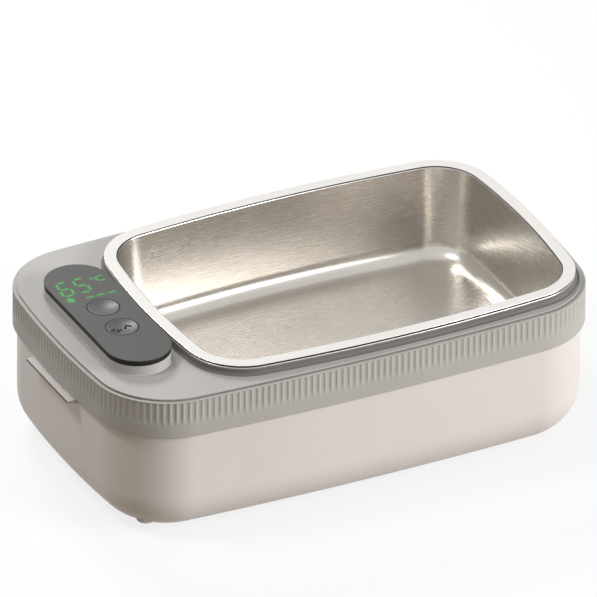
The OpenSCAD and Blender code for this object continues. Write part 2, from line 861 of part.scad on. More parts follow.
// Lead of radius r along a route
module lead(route, r) {
  p = cut_corners(route);
  side = [0.31, 0.47, 0.83];
  loft([for (i = [0:len(p) - 1])
    let (t = heading(p, i), u = cross(t, side)/norm(cross(t, side)), v = cross(t, u))
    [for (j = [0:7]) let (a = 45*j) p[i] + r*(cos(a)*u + sin(a)*v)]]);
}

// Two leads leave the film's edge under the well and climb in the front corner
module heater_leads() {
  p = plug_at[0];
  color(copper_red) for (s = [0, 1])
    let (y = -18 - 4*s, x = rim_left(y) + heater_in, z = heater_z + heater_t/2, side = -37.2 - 3*s)
    lead([
      [x, y, z], [x - 4, y, z], [x - 9, y - 3, z - 5], [x - 17, y - 13, z - 5],
      [climb_x, side, z + 4], [climb_x, side, 57], [p.x + pin_half - 2*pin_half*s, -36.6, 63],
      [p.x + pin_half - 2*pin_half*s, p.y, 65.6], [p.x + pin_half - 2*pin_half*s, p.y, plug_z]
    ], thin_lead_r);
}

// Two leads run from the ends of the top strips to their plug
module battery_leads() {
  p = plug_at[1];
  y = -cell_l/2 - strip_t;
  z = cell_top_z + 2;
  color(copper_red) for (s = [0, 1])
    let (x = cell_x + s*cell_pitch, end = p.x - pin_half + 2*pin_half*s)
    lead([
      [x, y, z], [x, y - 4, z], [(x + end)/2, y - 4, z + 4], [end, y - 3.6, z + 7],
      [end, p.y, z + 8.4], [end, p.y, plug_z]
    ], power_lead_r);
}

module charge_leads() {
  p = plug_at[2];
  y = charge_y + 3;
  color("#d8a62c") for (s = [0, 1])
    let (x = inlet_x - 6 + 4*s, z = charge_z + board_t, end = p.x - pin_half + 2*pin_half*s)
    lead([
      [x, y, z], [x, y, z + 7], [x - 6 - 2*s, y - 2, z + 22], [end, p.y, plug_z - 8], [end, p.y, plug_z]
    ], power_lead_r);
}

// One lead from the sensor under the clamp plate to its plug
module sensor_lead() {
  p = plug_at[3];
  z = sensor_tip_z;
  color("#e9e6e0") lead([
    [rim_x, 0, z], [rim_x, 0, z - 5], [rim_x - 40, -6, z - 7], [rim_x - 76, -20, z - 7],
    [rim_x - 98, -44, z - 1], [climb_x, -45, z + 10], [climb_x, -45, 55], [p.x, -38, 62],
    [p.x, p.y, 65.6], [p.x, p.y, plug_z]
  ], thin_lead_r);
}

// A case screw with its head's bearing face at z
module case_screw(z) {
  rod(screw_r, z, z + screw_l);
  difference() {
    rod(head_r, z - head_h, z);
    rod(drive_r, z - head_h - past, z - head_h/2);
  }
}

module case_screws() {
  color(steel) {
    at_corners() case_screw(corner_head_z);
    at_four([rim_x, 0], mid_screw) case_screw(mid_head_z);
  }
}

module feet() {
  color(seal_black) at_four([0, 0], foot_at) {
    rod(foot_r - foot_bevel, 0, foot_bevel);
    rod(foot_r, foot_bevel, shell_z + foot_sink);
  }
}

base_shell();
collar();
case_seal();
heating_well();
tray_seal();
food_tray();
well_wrap();
heater_film();
felt_pad();
clamp_plate();
clamp_nuts();
standoffs();
thermistor();
thermal_fuse();
control_panel();
panel_seal();
panel_overlay();
power_button();
mode_button();
control_board();
board_parts();
key_switches();
display_block();
buzzer();
board_screws();
battery_cells();
cell_holder();
cell_strips();
protection_board();
charge_board();
power_inlet();
heater_leads();
battery_leads();
charge_leads();
sensor_lead();
case_screws();
feet();
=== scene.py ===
"""Looks of an open electric lunch box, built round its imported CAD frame.

Sizes are in millimetres and are turned to metres when a mesh is made. The long side runs along X with
the controls at the -X end, the front is -Y and the feet stand on z = 0, as in the CAD.
"""
import logging
import math
from collections.abc import Callable
from dataclasses import dataclass, field, replace
from enum import Enum

import bpy
import numpy as np
from mathutils import Matrix


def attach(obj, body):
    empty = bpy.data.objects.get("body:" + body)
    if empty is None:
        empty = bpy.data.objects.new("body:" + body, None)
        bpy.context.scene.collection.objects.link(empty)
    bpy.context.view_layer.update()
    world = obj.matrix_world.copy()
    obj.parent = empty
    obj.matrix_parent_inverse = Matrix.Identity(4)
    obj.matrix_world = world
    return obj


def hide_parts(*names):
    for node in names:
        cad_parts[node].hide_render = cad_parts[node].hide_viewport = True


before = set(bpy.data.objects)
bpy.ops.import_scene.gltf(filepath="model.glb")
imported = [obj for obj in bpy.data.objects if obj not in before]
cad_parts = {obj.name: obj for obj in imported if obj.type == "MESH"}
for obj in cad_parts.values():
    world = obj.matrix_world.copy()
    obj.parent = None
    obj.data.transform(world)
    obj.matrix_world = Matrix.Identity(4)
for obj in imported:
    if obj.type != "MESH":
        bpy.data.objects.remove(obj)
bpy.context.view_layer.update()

LOG = logging.getLogger("lunch_box")
MM = 0.001
# Edges steeper than this many degrees stay sharp, on a new mesh and on one that was cut
SHARP = 40.0
SHARP_CUT = 35.0
# Inset that closes a turned section at its axis
AXIS = 0.01
# Points on each straight of a stadium
STRAIGHT_POINTS = 6
# An arc that turns by less than this many radians gets this many steps
SHALLOW = 0.5
SHALLOW_STEPS = 3
# Length of a scratch over its width, and the noise of scratches
SCRATCH_STRETCH = 60.0
SCRATCH_DETAIL = 4.0
SCRATCH_ROUGHNESS = 0.65
# Noise of the slow colour change, and its span that runs from one colour to the other
PATCH_DETAIL = 3.0
PATCH_SPAN = (0.3, 0.7)
# Octaves of plain grain and of felt, and the span of any pattern that drives the roughness
GRAIN_DETAIL = 2.0
FELT_DETAIL = 8.0
DETAIL_SPAN = (0.25, 0.75)
# Bands in a metre of a Wave Texture of scale 1, and how far its bands waver
WAVE_BANDS = 3.15
WAVE_WAVER = 0.6
# Least roughness
SMOOTHEST = 0.03


# ---------------------------------------------------------------- shapes
def bow_radius(half: float, bow: float) -> float:
    """Radius of the arc that bows out by bow over a half length.

    Args:
        half: half the chord.
        bow: height of the arc above its chord.

    Returns:
        (half squared + bow squared) / (2 bow).
    """
    return (half * half + bow * bow) / (2 * bow)


class Loop:
    """A closed plane curve that a section can be carried round."""

    count: int = 64

    def base(self) -> tuple[np.ndarray, np.ndarray]:
        """Points and outward unit normals, both (count, 2), anticlockwise."""
        raise NotImplementedError

    def rings(self, path: np.ndarray) -> np.ndarray:
        """Rings of the curve along a section path: each point minus inset times its normal.

        Args:
            path: (m, 2) of inset, below zero for outwards, and height.

        Returns:
            Points (m, count, 3).
        """
        points, normals = self.base()
        flat = points - path[:, 0, None, None] * normals
        height = np.broadcast_to(path[:, 1, None, None], flat.shape[:2] + (1,))
        return np.concatenate([flat, height], axis=2)

    def skin(self, path: np.ndarray, closed: bool = False, to_back: bool = False) -> "Cage":
        """A section carried round the curve, as a closed skin.

        Args:
            path: (m, 2) of inset and height.
            closed: whether the section closes on itself, as in a tube. Its ends get fans if not.
            to_back: whether the heights run along Y and the curve stands in X and Z.

        Returns:
            The cage, its faces outwards.
        """
        rings = self.rings(path)
        if to_back:
            rings = rings[:, :, [0, 2, 1]]
        return Cage.grid(rings, closed, not closed).outward()


@dataclass
class Outline(Loop):
    """Outline of the body or the rim: four bowed sides and four round corners."""

    length: float
    width: float
    corner_r: float
    bow_long: float
    bow_short: float
    mid_x: float = 0.0
    count: int = 720

    def base(self) -> tuple[np.ndarray, np.ndarray]:
        """Points evenly spaced along the outline, and their outward normals.

        A quarter is three arcs that touch: the short side's about (length/2 - its radius, 0), the
        corner's, and the long side's about (0, width/2 - its radius). The corner's centre is as far
        inside both side arcs as their radius less its own. The other quarters are mirror images.

        Returns:
            Points and normals, each (count, 2).
        """
        rs = bow_radius(self.width / 2, self.bow_short)
        rl = bow_radius(self.length / 2, self.bow_long)
        rc = self.corner_r
        cs = np.array([self.length / 2 - rs, 0.0])
        cl = np.array([0.0, self.width / 2 - rl])
        gap = cs - cl
        d = float(np.hypot(*gap))
        u = gap / d
        t = ((rl - rc) ** 2 - (rs - rc) ** 2 + d * d) / (2 * d)
        cc = cl + t * u + math.sqrt((rl - rc) ** 2 - t * t) * np.array([u[1], -u[0]])
        a1 = math.atan2(cc[1] - cs[1], cc[0] - cs[0])
        a2 = math.atan2(cc[1] - cl[1], cc[0] - cl[0])
        ends = np.cumsum([a1 * rs, (a2 - a1) * rc, (math.pi / 2 - a2) * rl])
        quarter = ends[2]
        step = np.arange(self.count)
        k = (4 * step) // self.count
        s = step * 4 * quarter / self.count - k * quarter
        s = np.where(k % 2 == 1, quarter - s, s)
        on_short, on_corner = s < ends[0], (s >= ends[0]) & (s < ends[1])
        angle = np.where(
            on_short, s / rs, np.where(on_corner, a1 + (s - ends[0]) / rc, a2 + (s - ends[1]) / rl)
        )
        radius = np.where(on_short, rs, np.where(on_corner, rc, rl))
        centre = np.where(on_short[:, None], cs, np.where(on_corner[:, None], cc, cl))
        normal = np.stack([np.cos(angle), np.sin(angle)], axis=1)
        flip = np.stack([np.where((k == 1) | (k == 2), -1, 1), np.where(k >= 2, -1, 1)], axis=1)
        points = (centre + radius[:, None] * normal) * flip + np.array([self.mid_x, 0.0])
        return points, normal * flip


@dataclass
class Stadium(Loop):
    """Two half circles joined by straights, or a circle where half is 0."""

    x: float
    y: float
    radius: float
    half: float = 0.0
    along_y: bool = True
    count: int = 96

    def base(self) -> tuple[np.ndarray, np.ndarray]:
        """Half circles of radius about the two ends of a line, joined by straights.

        Returns:
            Points and normals, each (count, 2).
        """
        a = 2 * math.pi * np.arange(self.count) / self.count
        normal = np.stack([np.cos(a), np.sin(a)], axis=1)
        points = self.radius * normal
        if self.half > 0:
            turn = np.linspace(0, math.pi, self.count // 2 - STRAIGHT_POINTS)
            side = np.linspace(-1, 1, STRAIGHT_POINTS + 2)[1:-1] * self.half
            cap = np.stack([self.radius * np.cos(turn), self.radius * np.sin(turn) + self.half], axis=1)
            cap_n = np.stack([np.cos(turn), np.sin(turn)], axis=1)
            wall = np.stack([np.full_like(side, -self.radius), -side], axis=1)
            wall_n = np.tile([-1.0, 0.0], (len(side), 1))
            points = np.concatenate([cap, wall, -cap, -wall])
            normal = np.concatenate([cap_n, wall_n, -cap_n, -wall_n])
        if not self.along_y:
            points, normal = (np.stack([-v[:, 1], v[:, 0]], axis=1) for v in (points, normal))
        return points + np.array([self.x, self.y]), normal


def rounded(
    corners: list[tuple[float, float, float]], closed: bool = False, steps: int = 7, guard: float = 0.3
) -> np.ndarray:
    """Path through corner points, each rounded by an arc that touches both its sides.

    Points a little before and after each arc keep the straights flat under smooth shading.

    Args:
        corners: (inset, height, radius) of each corner.
        closed: whether the path returns to its start.
        steps: steps in each arc.
        guard: distance of the extra points from the arcs.

    Returns:
        Points (m, 2).
    """
    p = np.array([c[:2] for c in corners], float)
    n = len(p)
    arcs = []
    for i, (_, _, r) in enumerate(corners):
        if r <= 0 or (not closed and i in (0, n - 1)):
            arcs.append(p[i : i + 1])
            continue
        v1, v2 = p[i - 1] - p[i], p[(i + 1) % n] - p[i]
        v1, v2 = v1 / np.hypot(*v1), v2 / np.hypot(*v2)
        half = math.acos(max(-1.0, min(1.0, float(v1 @ v2)))) / 2
        mid = (v1 + v2) / np.hypot(*(v1 + v2)) * r / math.sin(half)
        start, end = v1 * r / math.tan(half) - mid, v2 * r / math.tan(half) - mid
        span = math.pi - 2 * half
        t = np.linspace(0, 1, max(2, steps if span > SHALLOW else SHALLOW_STEPS) + 1)[:, None]
        turn = (np.sin((1 - t) * span) * start + np.sin(t * span) * end) / math.sin(span)
        arcs.append(p[i] + mid + turn)
    out = []
    for i, arc in enumerate(arcs):
        out.append(arc)
        if closed or i < n - 1:
            a, b = arc[-1], arcs[(i + 1) % n][0]
            gap = float(np.hypot(*(b - a)))
            if gap > 4 * guard:
                out.append(np.stack([a + (b - a) * guard / gap, b - (b - a) * guard / gap]))
    return np.concatenate(out)


@dataclass
class Cage:
    """Vertices, faces and surface coordinates on their way to a mesh."""

    points: np.ndarray
    quads: np.ndarray
    tris: np.ndarray
    quad_uv: np.ndarray
    tri_uv: np.ndarray

    @staticmethod
    def grid(rings: np.ndarray, closed: bool = False, caps: bool = False) -> "Cage":
        """Skin between rings: vertex (i, j) joins (i + 1, j) and (i, j + 1), round and round in j.

        Args:
            rings: points (m, n, 3).
            closed: join the last ring to the first.
            caps: close the first and last ring with a fan to its middle.

        Returns:
            The cage. Its surface coordinates are the lengths round and along it, in metres.
        """
        m, n, _ = rings.shape
        rows = m if closed else m - 1
        i, j = np.meshgrid(np.arange(rows), np.arange(n), indexing="ij")
        i, j = i.ravel(), j.ravel()
        i2, j2 = (i + 1) % m, (j + 1) % n
        quads = np.stack([i * n + j, i * n + j2, i2 * n + j2, i2 * n + j], axis=1)
        wide = rings[int(np.argmax(np.ptp(rings[:, :, 0], axis=1)))]
        around = np.concatenate([[0], np.cumsum(np.linalg.norm(np.roll(wide, -1, 0) - wide, axis=1))])
        step = np.linalg.norm(np.roll(rings, -1, 0) - rings, axis=2).max(axis=1)
        along = np.concatenate([[0], np.cumsum(step)])
        corner = [(around[j], along[i]), (around[j + 1], along[i]), (around[j + 1], along[i + 1]),
                  (around[j], along[i + 1])]
        quad_uv = np.stack([np.stack(c, axis=1) for c in corner], axis=1) * MM
        points, tris, tri_uv = rings.reshape(-1, 3), np.zeros((0, 3), int), np.zeros((0, 3, 2))
        if caps:
            k = np.arange(n)
            first, last = m * n, m * n + 1
            points = np.concatenate([points, rings[0].mean(0)[None], rings[-1].mean(0)[None]])
            low = np.stack([(k + 1) % n, k, np.full(n, first)], axis=1)
            high = np.stack([(m - 1) * n + k, (m - 1) * n + (k + 1) % n, np.full(n, last)], axis=1)
            tris = np.concatenate([low, high])
            tri_uv = points[tris][:, :, :2] * MM
        return Cage(points, quads, tris, quad_uv, tri_uv)

    @staticmethod
    def join(cages: list["Cage"]) -> "Cage":
        """Several cages as one, their indices moved on past each other.

        Args:
            cages: the cages, which stay apart.

        Returns:
            The one cage.
        """
        shift = np.cumsum([0] + [len(c.points) for c in cages])
        return Cage(
            np.concatenate([c.points for c in cages]),
            np.concatenate([c.quads + s for c, s in zip(cages, shift)]),
            np.concatenate([c.tris + s for c, s in zip(cages, shift)]),
            np.concatenate([c.quad_uv for c in cages]),
            np.concatenate([c.tri_uv for c in cages]),
        )

    def outward(self) -> "Cage":
        """Turns the faces out: the signed volume, summed over faces, comes out positive.

        Returns:
            This cage.
        """
        p, q = self.points, self.quads
        corners = np.concatenate([self.tris, q[:, [0, 1, 2]], q[:, [0, 2, 3]]])
        a, b, c = p[corners[:, 0]], p[corners[:, 1]], p[corners[:, 2]]
        if np.einsum("ij,ij->i", a, np.cross(b, c)).sum() < 0:
            self.quads, self.tris = q[:, ::-1], self.tris[:, ::-1]
            self.quad_uv, self.tri_uv = self.quad_uv[:, ::-1], self.tri_uv[:, ::-1]
        return self

    def make(self, name: str, sharp: float = SHARP) -> bpy.types.Object:
        """A mesh object of this cage at the origin.

        Args:
            name: the piece's name.
            sharp: edges steeper than this many degrees stay sharp.

        Returns:
            The object, linked into the scene.
        """
        mesh = bpy.data.meshes.new(name)
        mesh.vertices.add(len(self.points))
        mesh.vertices.foreach_set("co", (self.points * MM).astype(np.float32).ravel())
        corners = np.concatenate([self.quads.ravel(), self.tris.ravel()]).astype(np.int32)
        sizes = np.concatenate([np.full(len(self.quads), 4), np.full(len(self.tris), 3)])
        starts = np.concatenate([[0], np.cumsum(sizes)[:-1]]).astype(np.int32)
        mesh.loops.add(len(corners))
        mesh.loops.foreach_set("vertex_index", corners)
        mesh.polygons.add(len(sizes))
        mesh.polygons.foreach_set("loop_start", starts)
        mesh.update(calc_edges=True)
        uv = mesh.uv_layers.new(name="surface")
        uv_all = np.concatenate([self.quad_uv.reshape(-1, 2), self.tri_uv.reshape(-1, 2)])
        uv.data.foreach_set("uv", uv_all.astype(np.float32).ravel())
        mesh.validate()
        mesh.polygons.foreach_set("use_smooth", np.ones(len(mesh.polygons), bool))
        mesh.set_sharp_from_angle(angle=math.radians(sharp))
        piece = bpy.data.objects.new(name, mesh)
        bpy.context.scene.collection.objects.link(piece)
        return piece


def lathe(x: float, y: float, path: np.ndarray, count: int = 64, closed: bool = False) -> Cage:
    """A section of radius and height turned about an upright axis at x, y.

    Args:
        x: the axis's x.
        y: the axis's y.
        path: (m, 2) of radius and height.
        count: points round the axis.
        closed: whether the section closes on itself, as in a tube. Its ends get fans if not.

    Returns:
        The cage, its faces outwards.
    """
    return Stadium(x, y, 0.0, count=count).skin(path * [-1, 1], closed)


def ribbon(
    points: np.ndarray, width: np.ndarray, height: Callable[[np.ndarray], np.ndarray], below: float,
    above: float,
) -> Cage:
    """A stroke with a small thickness that lies on a surface: a rectangle carried along a plane path.

    Args:
        points: the path, (n, 2).
        width: its width at each point, (n,).
        height: the surface's height at points (n, 2).
        below: depth of its underside below the surface.
        above: height of its top above the surface.

    Returns:
        The cage, closed at both ends.
    """
    way = np.gradient(points, axis=0)
    way /= np.linalg.norm(way, axis=1)[:, None]
    side = np.stack([-way[:, 1], way[:, 0]], axis=1) * width[:, None] / 2
    left, right = points + side, points - side
    corner = [(left, height(left) - below), (left, height(left) + above),
              (right, height(right) + above), (right, height(right) - below)]
    rings = np.stack([np.concatenate([p, h[:, None]], axis=1) for p, h in corner], axis=1)
    return Cage.grid(rings, caps=True).outward()


def cut(piece: bpy.types.Object, tools: list[Cage]) -> bpy.types.Object:
    """Takes the tools' volume out of a piece and keeps the result as its mesh.

    Args:
        piece: a closed piece.
        tools: closed cages that don't meet each other.

    Returns:
        The piece.
    """
    tool = Cage.join(tools).make("tool")
    boolean = piece.modifiers.new("cut", "BOOLEAN")
    boolean.operation, boolean.solver, boolean.object = "DIFFERENCE", "EXACT", tool
    graph = bpy.context.evaluated_depsgraph_get()
    mesh = bpy.data.meshes.new_from_object(piece.evaluated_get(graph))
    piece.modifiers.clear()
    bpy.data.objects.remove(tool)
    old, piece.data = piece.data, mesh
    mesh.name = old.name
    bpy.data.meshes.remove(old)
    mesh.polygons.foreach_set("use_smooth", np.ones(len(mesh.polygons), bool))
    mesh.set_sharp_from_angle(angle=math.radians(SHARP_CUT))
    return piece


# ---------------------------------------------------------------- finishes
def linear(hex_colour: str) -> tuple[float, float, float, float]:
    """An sRGB hex colour as linear red, green, blue and alpha 1, by the sRGB standard's curve."""
    v = [int(hex_colour[i : i + 2], 16) / 255 for i in (1, 3, 5)]
    return (*[c / 12.92 if c <= 0.04045 else ((c + 0.055) / 1.055) ** 2.4 for c in v], 1.0)


def add(
    tree: bpy.types.NodeTree, kind: str, settings: dict[str, object] | None = None, **links: object
) -> bpy.types.Node:
    """Adds a node to a tree.

    Args:
        tree: the material's or world's node tree.
        kind: the node's type name.
        settings: attributes of the node.
        links: per input socket, named with _ for spaces or as iN for its number: a value, or an
            output socket to link.

    Returns:
        The node.
    """
    node = tree.nodes.new(kind)
    for key, value in (settings or {}).items():
        setattr(node, key, value)
    for key, value in links.items():
        by_number = key[0] == "i" and key[1:].isdigit()
        socket = node.inputs[int(key[1:]) if by_number else key.replace("_", " ")]
        if isinstance(value, bpy.types.NodeSocket):
            tree.links.new(value, socket)
        else:
            socket.default_value = value
    return node


class Pattern(Enum):
    """How a material's fine detail lies."""

    MOULDED = "fine even grain from a spark-eroded mould"
    BRUSHED = "long scratches round the piece"
    DRAWN = "long scratches along X"
    FELT = "tangled fibres"
    TRACKS = "etched tracks side by side"
    BOARD = "solder mask over tracks"


@dataclass(frozen=True)
class Finish:
    """A real material and how its surface was made.

    colour and tint are the two ends of its slow colour change over patch_mm. grain_mm is the size of
    its fine detail and bump_mm the height of that detail. rough_span is how far that detail moves the
    roughness either way. gloss is the strength of its shine and glow that of its own light.
    """

    name: str
    colour: str
    tint: str
    rough: float
    rough_span: float = 0.05
    metallic: float = 0.0
    ior: float = 1.5
    grain_mm: float = 0.6
    bump_mm: float = 0.02
    patch_mm: float = 40.0
    pattern: Pattern = Pattern.MOULDED
    coat: float = 0.0
    sheen: float = 0.0
    glow: float = 0.0
    gloss: float = 0.5

    def detail(self, tree: bpy.types.NodeTree, place: bpy.types.NodeSocket) -> bpy.types.NodeSocket:
        """The fine pattern.

        Scratches are noise drawn out along the first coordinate, one scratch grain_mm wide. Tracks are
        straight bands along X, each grain_mm wide with a gap as wide. The others are plain noise.

        Args:
            tree: the material's tree.
            place: the object's coordinates.

        Returns:
            The pattern's strength, from 0 to 1.
        """
        fine = 1 / (self.grain_mm * MM)
        if self.pattern in (Pattern.TRACKS, Pattern.BOARD):
            node = add(tree, "ShaderNodeTexWave", {"bands_direction": "Y"}, Vector=place,
                       Scale=fine / (2 * WAVE_BANDS), Distortion=WAVE_WAVER, Detail=1.0)
        elif self.pattern in (Pattern.BRUSHED, Pattern.DRAWN):
            if self.pattern is Pattern.BRUSHED:
                place = add(tree, "ShaderNodeUVMap", {"uv_map": "surface"}).outputs[0]
            drawn = add(tree, "ShaderNodeMapping", i0=place, Scale=(fine / SCRATCH_STRETCH, fine, fine))
            node = add(tree, "ShaderNodeTexNoise", Vector=drawn.outputs[0], Scale=1.0,
                       Detail=SCRATCH_DETAIL, Roughness=SCRATCH_ROUGHNESS)
        else:
            depth = FELT_DETAIL if self.pattern is Pattern.FELT else GRAIN_DETAIL
            node = add(tree, "ShaderNodeTexNoise", Vector=place, Scale=fine, Detail=depth)
        return node.outputs["Fac"]

    def build(self) -> bpy.types.Material:
        """The material, made once: slow colour change, fine detail as roughness and as bump.

        On tracks the colour follows the fine detail instead.

        Returns:
            The material.
        """
        known = bpy.data.materials.get(self.name)
        if known:
            return known
        mat = bpy.data.materials.new(self.name)
        mat.use_nodes = True
        tree = mat.node_tree
        inputs = tree.nodes["Principled BSDF"].inputs
        place = add(tree, "ShaderNodeTexCoord").outputs["Object"]
        fine = share = self.detail(tree, place)
        if self.pattern not in (Pattern.TRACKS, Pattern.BOARD):
            share = add(tree, "ShaderNodeTexNoise", Vector=place, Scale=1 / (self.patch_mm * MM),
                        Detail=PATCH_DETAIL).outputs["Fac"]
        wide = add(tree, "ShaderNodeMapRange", Value=share, From_Min=PATCH_SPAN[0], From_Max=PATCH_SPAN[1])
        mix = add(tree, "ShaderNodeMix", {"data_type": "RGBA"}, Factor=wide.outputs[0],
                  i6=linear(self.colour), i7=linear(self.tint))
        rough = add(tree, "ShaderNodeMapRange", Value=fine, From_Min=DETAIL_SPAN[0], From_Max=DETAIL_SPAN[1],
                    To_Min=max(SMOOTHEST, self.rough - self.rough_span), To_Max=self.rough + self.rough_span)
        bump = add(tree, "ShaderNodeBump", Strength=1.0, Distance=self.bump_mm * MM, Height=fine)
        for socket, link in (("Base Color", mix.outputs[2]), ("Roughness", rough.outputs[0]),
                             ("Normal", bump.outputs[0])):
            tree.links.new(link, inputs[socket])
        inputs["Metallic"].default_value = self.metallic
        inputs["Specular IOR Level"].default_value = self.gloss
        if self.metallic == 0:
            inputs["IOR"].default_value = self.ior
        inputs["Coat Weight"].default_value = self.coat
        inputs["Sheen Weight"].default_value = self.sheen
        if self.glow:
            inputs["Emission Color"].default_value = linear(self.colour)
            inputs["Emission Strength"].default_value = self.glow
        return mat

    def put_on(self, piece: bpy.types.Object) -> None:
        """Makes this the piece's only material, in every slot that it has."""
        if not piece.material_slots:
            piece.data.materials.append(self.build())
        for s in piece.material_slots:
            s.material = self.build()


# Satin ABS, moulded: warm white, a soft broad shine
SHELL_ABS = Finish("Satin ABS, warm white", "#e3dddb", "#e0d9d7", 0.38, grain_mm=0.5, bump_mm=0.004)
# Spark-eroded ABS: light grey with a fine matt grain
COLLAR_ABS = Finish("Grained ABS, light grey", "#b9b7b3", "#b4b2ae", 0.5, grain_mm=0.45, bump_mm=0.012,
                    gloss=0.3)
# Screen-printed polycarbonate film: even mid grey, half matt
PANEL_FILM = Finish("Printed polycarbonate film", "#515150", "#4e4e4d", 0.5, 0.03, ior=1.58, bump_mm=0.002,
                    gloss=0.2)
# ABS frame under the film: black at its bare edge
PANEL_ABS = Finish("Satin ABS, black", "#1c1b1a", "#222120", 0.4, bump_mm=0.004, gloss=0.3)
# Satin ABS, moulded in a polished mould: a soft light in each dish
BUTTON_ABS = Finish("Satin ABS, button grey", "#4a4a49", "#464646", 0.4, grain_mm=0.4, bump_mm=0.006)
# Painted shade: a matt dark grey laid as a thin sheet on the lip's wall under the rim, and on the catch
# ledges' outer faces, where shade falls
PAINTED_SHADE_GREY = Finish("Painted shade, matt dark grey", "#75726d", "#706d68", 0.6, grain_mm=0.6, bump_mm=0.01,
                  gloss=0.3)
# Moulded silicone: near black, a dull shine
SILICONE = Finish("Black silicone", "#1b1a19", "#222120", 0.5, ior=1.41, grain_mm=0.8, bump_mm=0.01,
                  gloss=0.3)
# Moulded rubber: near black and matt
FOOT_RUBBER = Finish("Black rubber", "#262524", "#2e2c2a", 0.7, ior=1.52, grain_mm=0.5, bump_mm=0.04)
# Pressed stainless steel, polished lightly round the bowl: bright, with faint scratches
TRAY_STEEL = Finish("Stainless steel, brushed", "#cbc7c1", "#c3beb7", 0.25, 0.05, metallic=1.0, grain_mm=0.35,
                    bump_mm=0.0004, patch_mm=50, pattern=Pattern.BRUSHED)
# The rim is polished after pressing, a little smoother than the bowl; its colour is painted lighter than real
# steel's, a painted highlight
RIM_STEEL_PAINTED_LIGHT = Finish("Stainless steel, satin rim painted lighter", "#efece8", "#ebe8e3", 0.2, 0.03, metallic=1.0, grain_mm=0.35,
                   bump_mm=0.0012, patch_mm=50, pattern=Pattern.BRUSHED)
# Painted reflection: the bend between rim and bowl is coloured dark, a thin dark line that stands in for a
# dark room mirrored in it, which isn't in the scene
BEND_PAINTED_REFLECTION = replace(RIM_STEEL_PAINTED_LIGHT, name="Stainless steel, painted dark reflection at the bend", colour="#343230", tint="#302e2c",
                     rough=0.3)
# Pressed stainless steel, left as it comes: a little duller than the tray
WELL_STEEL = Finish("Stainless steel, pressed", "#cccac6", "#c2bfba", 0.3, 0.07, metallic=1.0, grain_mm=0.4,
                    bump_mm=0.003, patch_mm=50, pattern=Pattern.BRUSHED)
# Zinc-plated steel: bluish grey, mottled in patches of a few millimetres
ZINC = Finish("Zinc-plated steel", "#c6c8ca", "#b4b7ba", 0.36, 0.08, metallic=1.0, grain_mm=0.6,
              bump_mm=0.004, patch_mm=6, pattern=Pattern.DRAWN)
# Rolled nickel: yellowish, with fine lines along the strip
NICKEL = Finish("Nickel strip", "#cfc9b8", "#c3bca9", 0.3, 0.06, metallic=1.0, bump_mm=0.002,
                pattern=Pattern.DRAWN)
# Turned brass: bright yellow with the tool's fine lines
BRASS = Finish("Turned brass", "#c9a55a", "#b8934a", 0.3, 0.06, metallic=1.0, grain_mm=0.3, bump_mm=0.003,
               pattern=Pattern.DRAWN)
# Anodised aluminium: dark grey, an even dull shine
ANODISED = Finish("Dark anodised aluminium", "#4c5056", "#44484d", 0.45, metallic=1.0, bump_mm=0.004)
# Glass fibre felt: off white, loose fibres drawn 1.2 mm wide so that they show
FELT = Finish("Glass fibre felt", "#d0cabd", "#bfb8a9", 0.95, grain_mm=1.2, bump_mm=0.5, patch_mm=8,
              sheen=0.4, pattern=Pattern.FELT)
# Etched foil heater between films: copper tracks 3 mm wide under amber film
HEATER = Finish("Foil heater in polyimide film", "#c07a30", "#8e4a18", 0.28, ior=1.7, grain_mm=3.0,
                bump_mm=0.05, coat=0.5, pattern=Pattern.TRACKS)
# Fibreglass board with green solder mask over copper tracks: glossy, paler over the copper
BOARD = Finish("Circuit board, green mask", "#2c6a42", "#3a7d50", 0.3, grain_mm=1.2, bump_mm=0.03,
               coat=0.3, pattern=Pattern.BOARD)
# Moulded epoxy of chips and switches: black and matt
EPOXY = Finish("Black moulded epoxy", "#2a2a2c", "#323234", 0.55, grain_mm=0.3, bump_mm=0.01)
# Moulded housing of the display: black, smooth
LIGHT_BOX = Finish("Black display housing", "#151715", "#1b1d1b", 0.3, bump_mm=0.004)
# Glass-filled nylon: near black, with a coarse grain
HOLDER = Finish("Black glass-filled nylon", "#27292b", "#2f3133", 0.5, grain_mm=0.8, bump_mm=0.03)
# Heat-shrunk PVC sleeve over a steel can: blue and glossy
SLEEVE = Finish("Blue PVC sleeve", "#4876a6", "#3f6b99", 0.25, ior=1.53, bump_mm=0.006, coat=0.3)
# Fired ceramic: white, half matt
CERAMIC = Finish("Fired white ceramic", "#e9e5db", "#ddd8cc", 0.5, ior=1.6, bump_mm=0.02)
# Extruded silicone round the leads: one colour each, a dull shine
LEAD_RED = Finish("Red silicone insulation", "#a8322a", "#9a2b24", 0.45, ior=1.41, bump_mm=0.01)
LEAD_YELLOW = replace(LEAD_RED, name="Yellow silicone insulation", colour="#d6a32a", tint="#c99622")
LEAD_WHITE = replace(LEAD_RED, name="White silicone insulation", colour="#e8e5df", tint="#dedad3")
# Green light of the display's segments as it comes through the film: it glows a little
GLOW_GREEN = Finish("Green display light", "#43944d", "#3f8d48", 0.5, bump_mm=0.001, glow=0.25, gloss=0.2)
# Pad-printed ink: black and matt
INK = Finish("Black pad-print ink", "#0c0c0c", "#101010", 0.8, bump_mm=0.002, gloss=0.08)


def keep(piece: bpy.types.Object, finish: Finish, body: str, slot: str, *nodes: str) -> bpy.types.Object:
    """Dresses a piece, lets it ride on its body and hides the CAD nodes that it stands for.

    Args:
        piece: the piece.
        finish: its finish.
        body: the CAD body that it rides on.
        slot: the record's material slot, not used.
        nodes: CAD nodes that it replaces.

    Returns:
        The piece.
    """
    finish.put_on(piece)
    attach(piece, body)
    if nodes:
        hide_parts(*nodes)
    LOG.info("%s: %d faces, rides on %s", piece.name, len(piece.data.polygons), body)
    return piece


